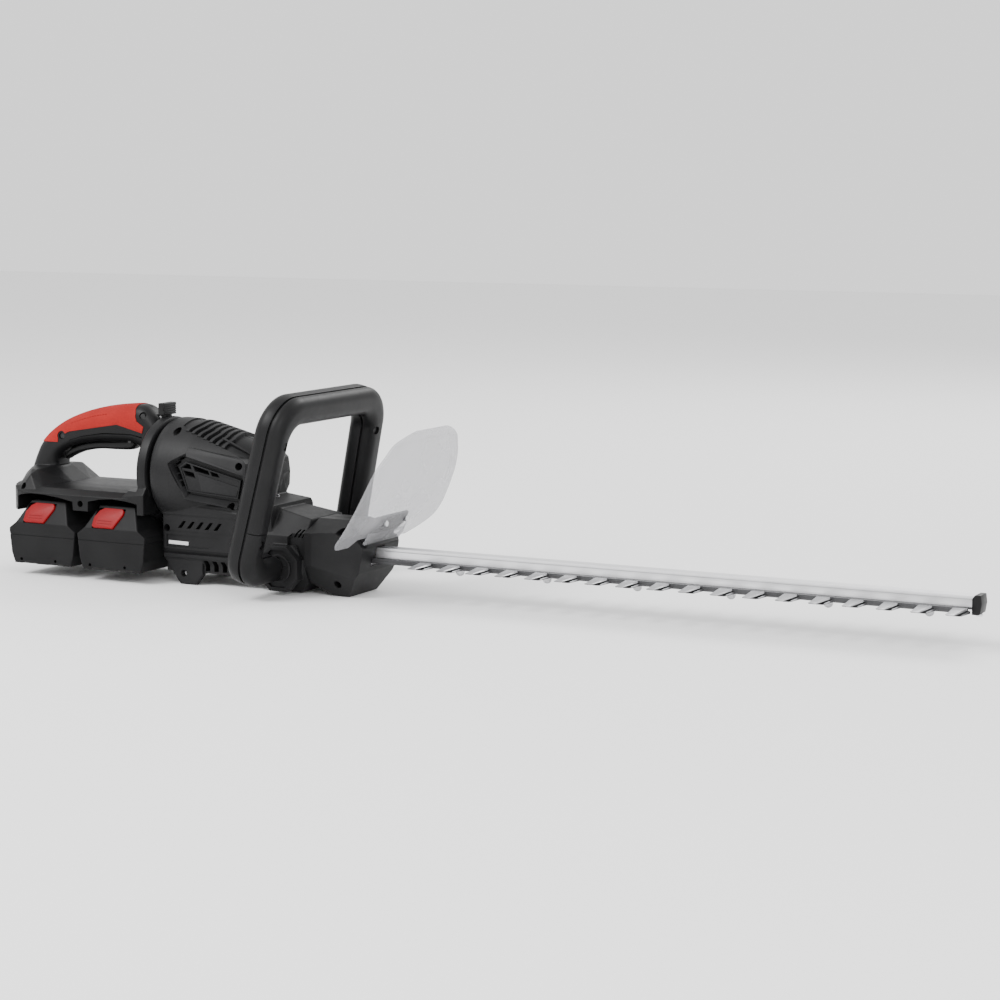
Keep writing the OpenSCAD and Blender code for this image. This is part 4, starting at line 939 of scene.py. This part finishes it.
# height, place along the tool and half width of the guard, from its foot up
GUARD = [(53, -18, 66), (60, -9, 80), (70, 3, 89), (83, 13, 91), (101, 22.7, 89), (120, 31.5, 86),
         (137, 38, 80), (149, 42.5, 71), (160, 46.5, 61), (168, 51, 42), (172, 53, 25)]


def build_guard():
    """Moulded sheet with a bead round its rim and a raised inner panel."""
    rows = [r for r in smooth_rows(GUARD, 6) if r[0] < 171.5]
    count = 81
    sheet_t = 2.4
    top = rows[-1][0]
    front, back = [], []
    for z, x, w in rows:
        for j in range(count):
            u = 2 * j / (count - 1) - 1
            rim = min((1 - abs(u)) * w, (top - z) * 1.2 + 0.8)
            bead = 1.1 * max(0, 1 - abs(rim - 1.6) / 1.6)
            step = 1.7 * ease((rim - 12) / 3) * ease((z - 84) / 5)
            dish = -0.00035 * (u * w) ** 2
            front.append((x + sheet_t + 0.1 + dish + bead + step, u * w, z))
            back.append((x + 0.1 + dish + step, u * w, z))
    n = len(rows)
    verts = front + back
    off = len(front)
    faces = []
    for i in range(n - 1):
        for j in range(count - 1):
            a = i * count + j
            faces.append([a, a + 1, a + count + 1, a + count])
            faces.append([off + a, off + a + count, off + a + count + 1, off + a + 1])
    edge = [i * count for i in range(n)] + [(n - 1) * count + j for j in range(1, count)] \
        + [i * count + count - 1 for i in range(n - 2, -1, -1)] + [j for j in range(count - 2, 0, -1)]
    faces += [[a, b, off + b, off + a] for a, b in zip(edge, edge[1:] + edge[:1])]
    sheet = make("guard", verts, faces)
    cut(sheet, box((-40, -46.5, 40), (1.5, 46.5, 61.5)))
    cut(sheet, *[rod((2, y, 76), (40, y, 76), 3.3) for y in (-20, 20)])
    join(sheet, prism("y", [(-4.9, 56.2), (-2.7, 55.4), (1.8, 61), (6.0, 70.5), (3.4, 70.5), (-0.8, 62.5)],
                      -38, 31))
    return piece(sheet, "blade_guard", "tool_body", CLEAR, ("blade_guard",), 40)


def build_bracket():
    """Bent bracket that carries the guard, and its foot on the nose."""
    side = [(-24.3, 72.5), (-9.6, 56.1), (-9.3, 59.8), (2.6, 69.9), (12.5, 82.6), (9.9, 84.4),
            (0.2, 72.2), (-8.9, 64.8), (-21.6, 75.3)]
    body = prism("y", side, -30, 30)
    cut(body, *[prism("x", [(s * 30.1, 90), (s * 30.1, 74), (s * 21, 90)], -5, 20) for s in (-1, 1)])
    bevel(body, 0.8, 3)
    cut(body, *[rod((-10, y, 76), (30, y, 76), 1.6) for y in (-20, 20)])
    lip = prism("y", [(-9.4, 56.6), (-5.0, 51.6), (-3.2, 52.2), (-3.0, 55.0), (-6.4, 58.4)], -31, 31)
    bevel(lip, 0.7, 2)
    return [piece(body, "guard_bracket", "tool_body", BRACKET, ("guard_bracket",)),
            piece(lip, "bracket_foot", "tool_body", HOUSING)]


def build_cap():
    low, high = cad("tip_cap")
    x0, x1, z0, z1 = low[0], high[0], low[2], high[2]
    w = high[1]
    body = prism("y", [(x0, z0), (x0, z1 - 3.5), (x0 + 2.5, z1), (x1 - 1, z1), (x1, z0 + 10),
                       (x1 - 1.5, z0 + 1), (x1 - 3, z0)], -w, w)
    bevel(body, 0.7, 3)
    cut(body, box((x0 - 1, -7.05, 38.55), (x1 - 2.95, 7.05, 48.85)),
        box((x0 - 1, -w + 1, z0 + 1), (x0 + 2.5, w - 1, 39)))
    tip_bolt = cad("bar_bolts")[1][0] - 3
    cut(body, rod((tip_bolt, 0, 20), (tip_bolt, 0, 40), 1.6))
    return piece(body, "tip_cap", "tool_body", BLACK, ("tip_cap",))


# ---------------------------------------------------------------- the whole tool
for build in (build_housing, build_name_plate, build_nose, build_loop, build_paddle, build_handle,
              build_trigger, build_latch, build_guard, build_bracket, build_cap):
    build()
for which in ("rear", "front"):
    low, high = cad(f"{which}_pack_base")
    build_pack(which, (low[0] + high[0]) / 2)
build_blade("upper_blade", "upper_cutter", 52.5)
build_blade("lower_blade", "lower_cutter", 54.5)

# CAD nodes that are shown as they are
KEPT = {
    STEEL: ["gear_case_screws", "bar_bolts", "bar_spacers", "bar_nuts", "paddle_pin",
            "front_paddle_spring", "motor_can", "motor_bearings", "rotor", "pinion", "crank_gear",
            "crankshaft", "crank_bearings", "latch_spring", "trigger_spring", "rear_pack_button_spring",
            "front_pack_button_spring"],
    HOLE_SHADE_STEEL: ["trigger_pin", "loop_screws", "housing_screws", "handle_screws"],
    GROUND: ["guard_screws"],
    BAR: ["guide_bar", "gear_case_lower", "gear_case_upper", "heat_sink"],
    BLACK: ["front_switch", "motor_end_cap", "cooling_fan", "swivel_ring", "trigger_switch",
            "terminal_blocks"],
    CELL: ["rear_pack_cells", "front_pack_cells"],
    BOARD: ["control_board"],
}
for material, names in KEPT.items():
    for name in names:
        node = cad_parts[name]
        node.data.materials.clear()
        node.data.materials.append(material)


# ---------------------------------------------------------------- studio
def build_floor():
    n = Nodes("floor")
    n.surface(Base_Color=(0.90, 0.90, 0.90), Roughness=0.9)
    size, level = 6.0, -0.0005
    corners = [(-size, -size), (size, -size), (size, size), (-size, size)]
    floor = make("floor", [(x, y, level) for x, y in corners], [[0, 1, 2, 3]])
    floor.data.materials.append(n.material)


def area_light(name, place, target, size, power):
    """A rectangular light that points from its place to a target."""
    light = bpy.data.lights.new(name, "AREA")
    light.shape = "RECTANGLE"
    light.size, light.size_y = size
    light.energy = power
    obj = bpy.data.objects.new(name, light)
    bpy.context.scene.collection.objects.link(obj)
    obj.location = place
    obj.rotation_euler = (Vector(target) - Vector(place)).to_track_quat("-Z", "Y").to_euler()


def build_studio():
    """White floor and sky, three lights and the camera of the photograph."""
    build_floor()
    world = bpy.data.worlds.new("studio")
    world.use_nodes = True
    sky = world.node_tree.nodes["Background"]
    sky.inputs["Color"].default_value = (1, 1, 1, 1)
    sky.inputs["Strength"].default_value = 1.35
    bpy.context.scene.world = world
    area_light("key", (-1.2, -1.8, 2.2), (-0.2, 0, 0.1), (1.4, 1.0), 85)
    area_light("front", (1.6, -1.6, 1.2), (0.1, 0, 0.1), (1.0, 1.0), 22)
    area_light("back", (0.4, 2.2, 1.8), (-0.1, 0, 0.1), (1.8, 0.8), 40)
    camera = bpy.data.cameras.new("camera")
    camera.lens, camera.sensor_width = 90, 36
    camera.clip_end = 50
    obj = bpy.data.objects.new("camera", camera)
    bpy.context.scene.collection.objects.link(obj)
    obj.location = TO_METRES @ Vector((1251.3, -2138.1, 427.85))
    azimuth, elevation = math.radians(27.7), math.radians(7.63)
    back = Vector((math.sin(azimuth) * math.cos(elevation), -math.cos(azimuth) * math.cos(elevation),
                   math.sin(elevation)))
    obj.rotation_euler = back.to_track_quat("Z", "Y").to_euler()
    bpy.context.scene.camera = obj


build_studio()
bpy.context.view_layer.update()
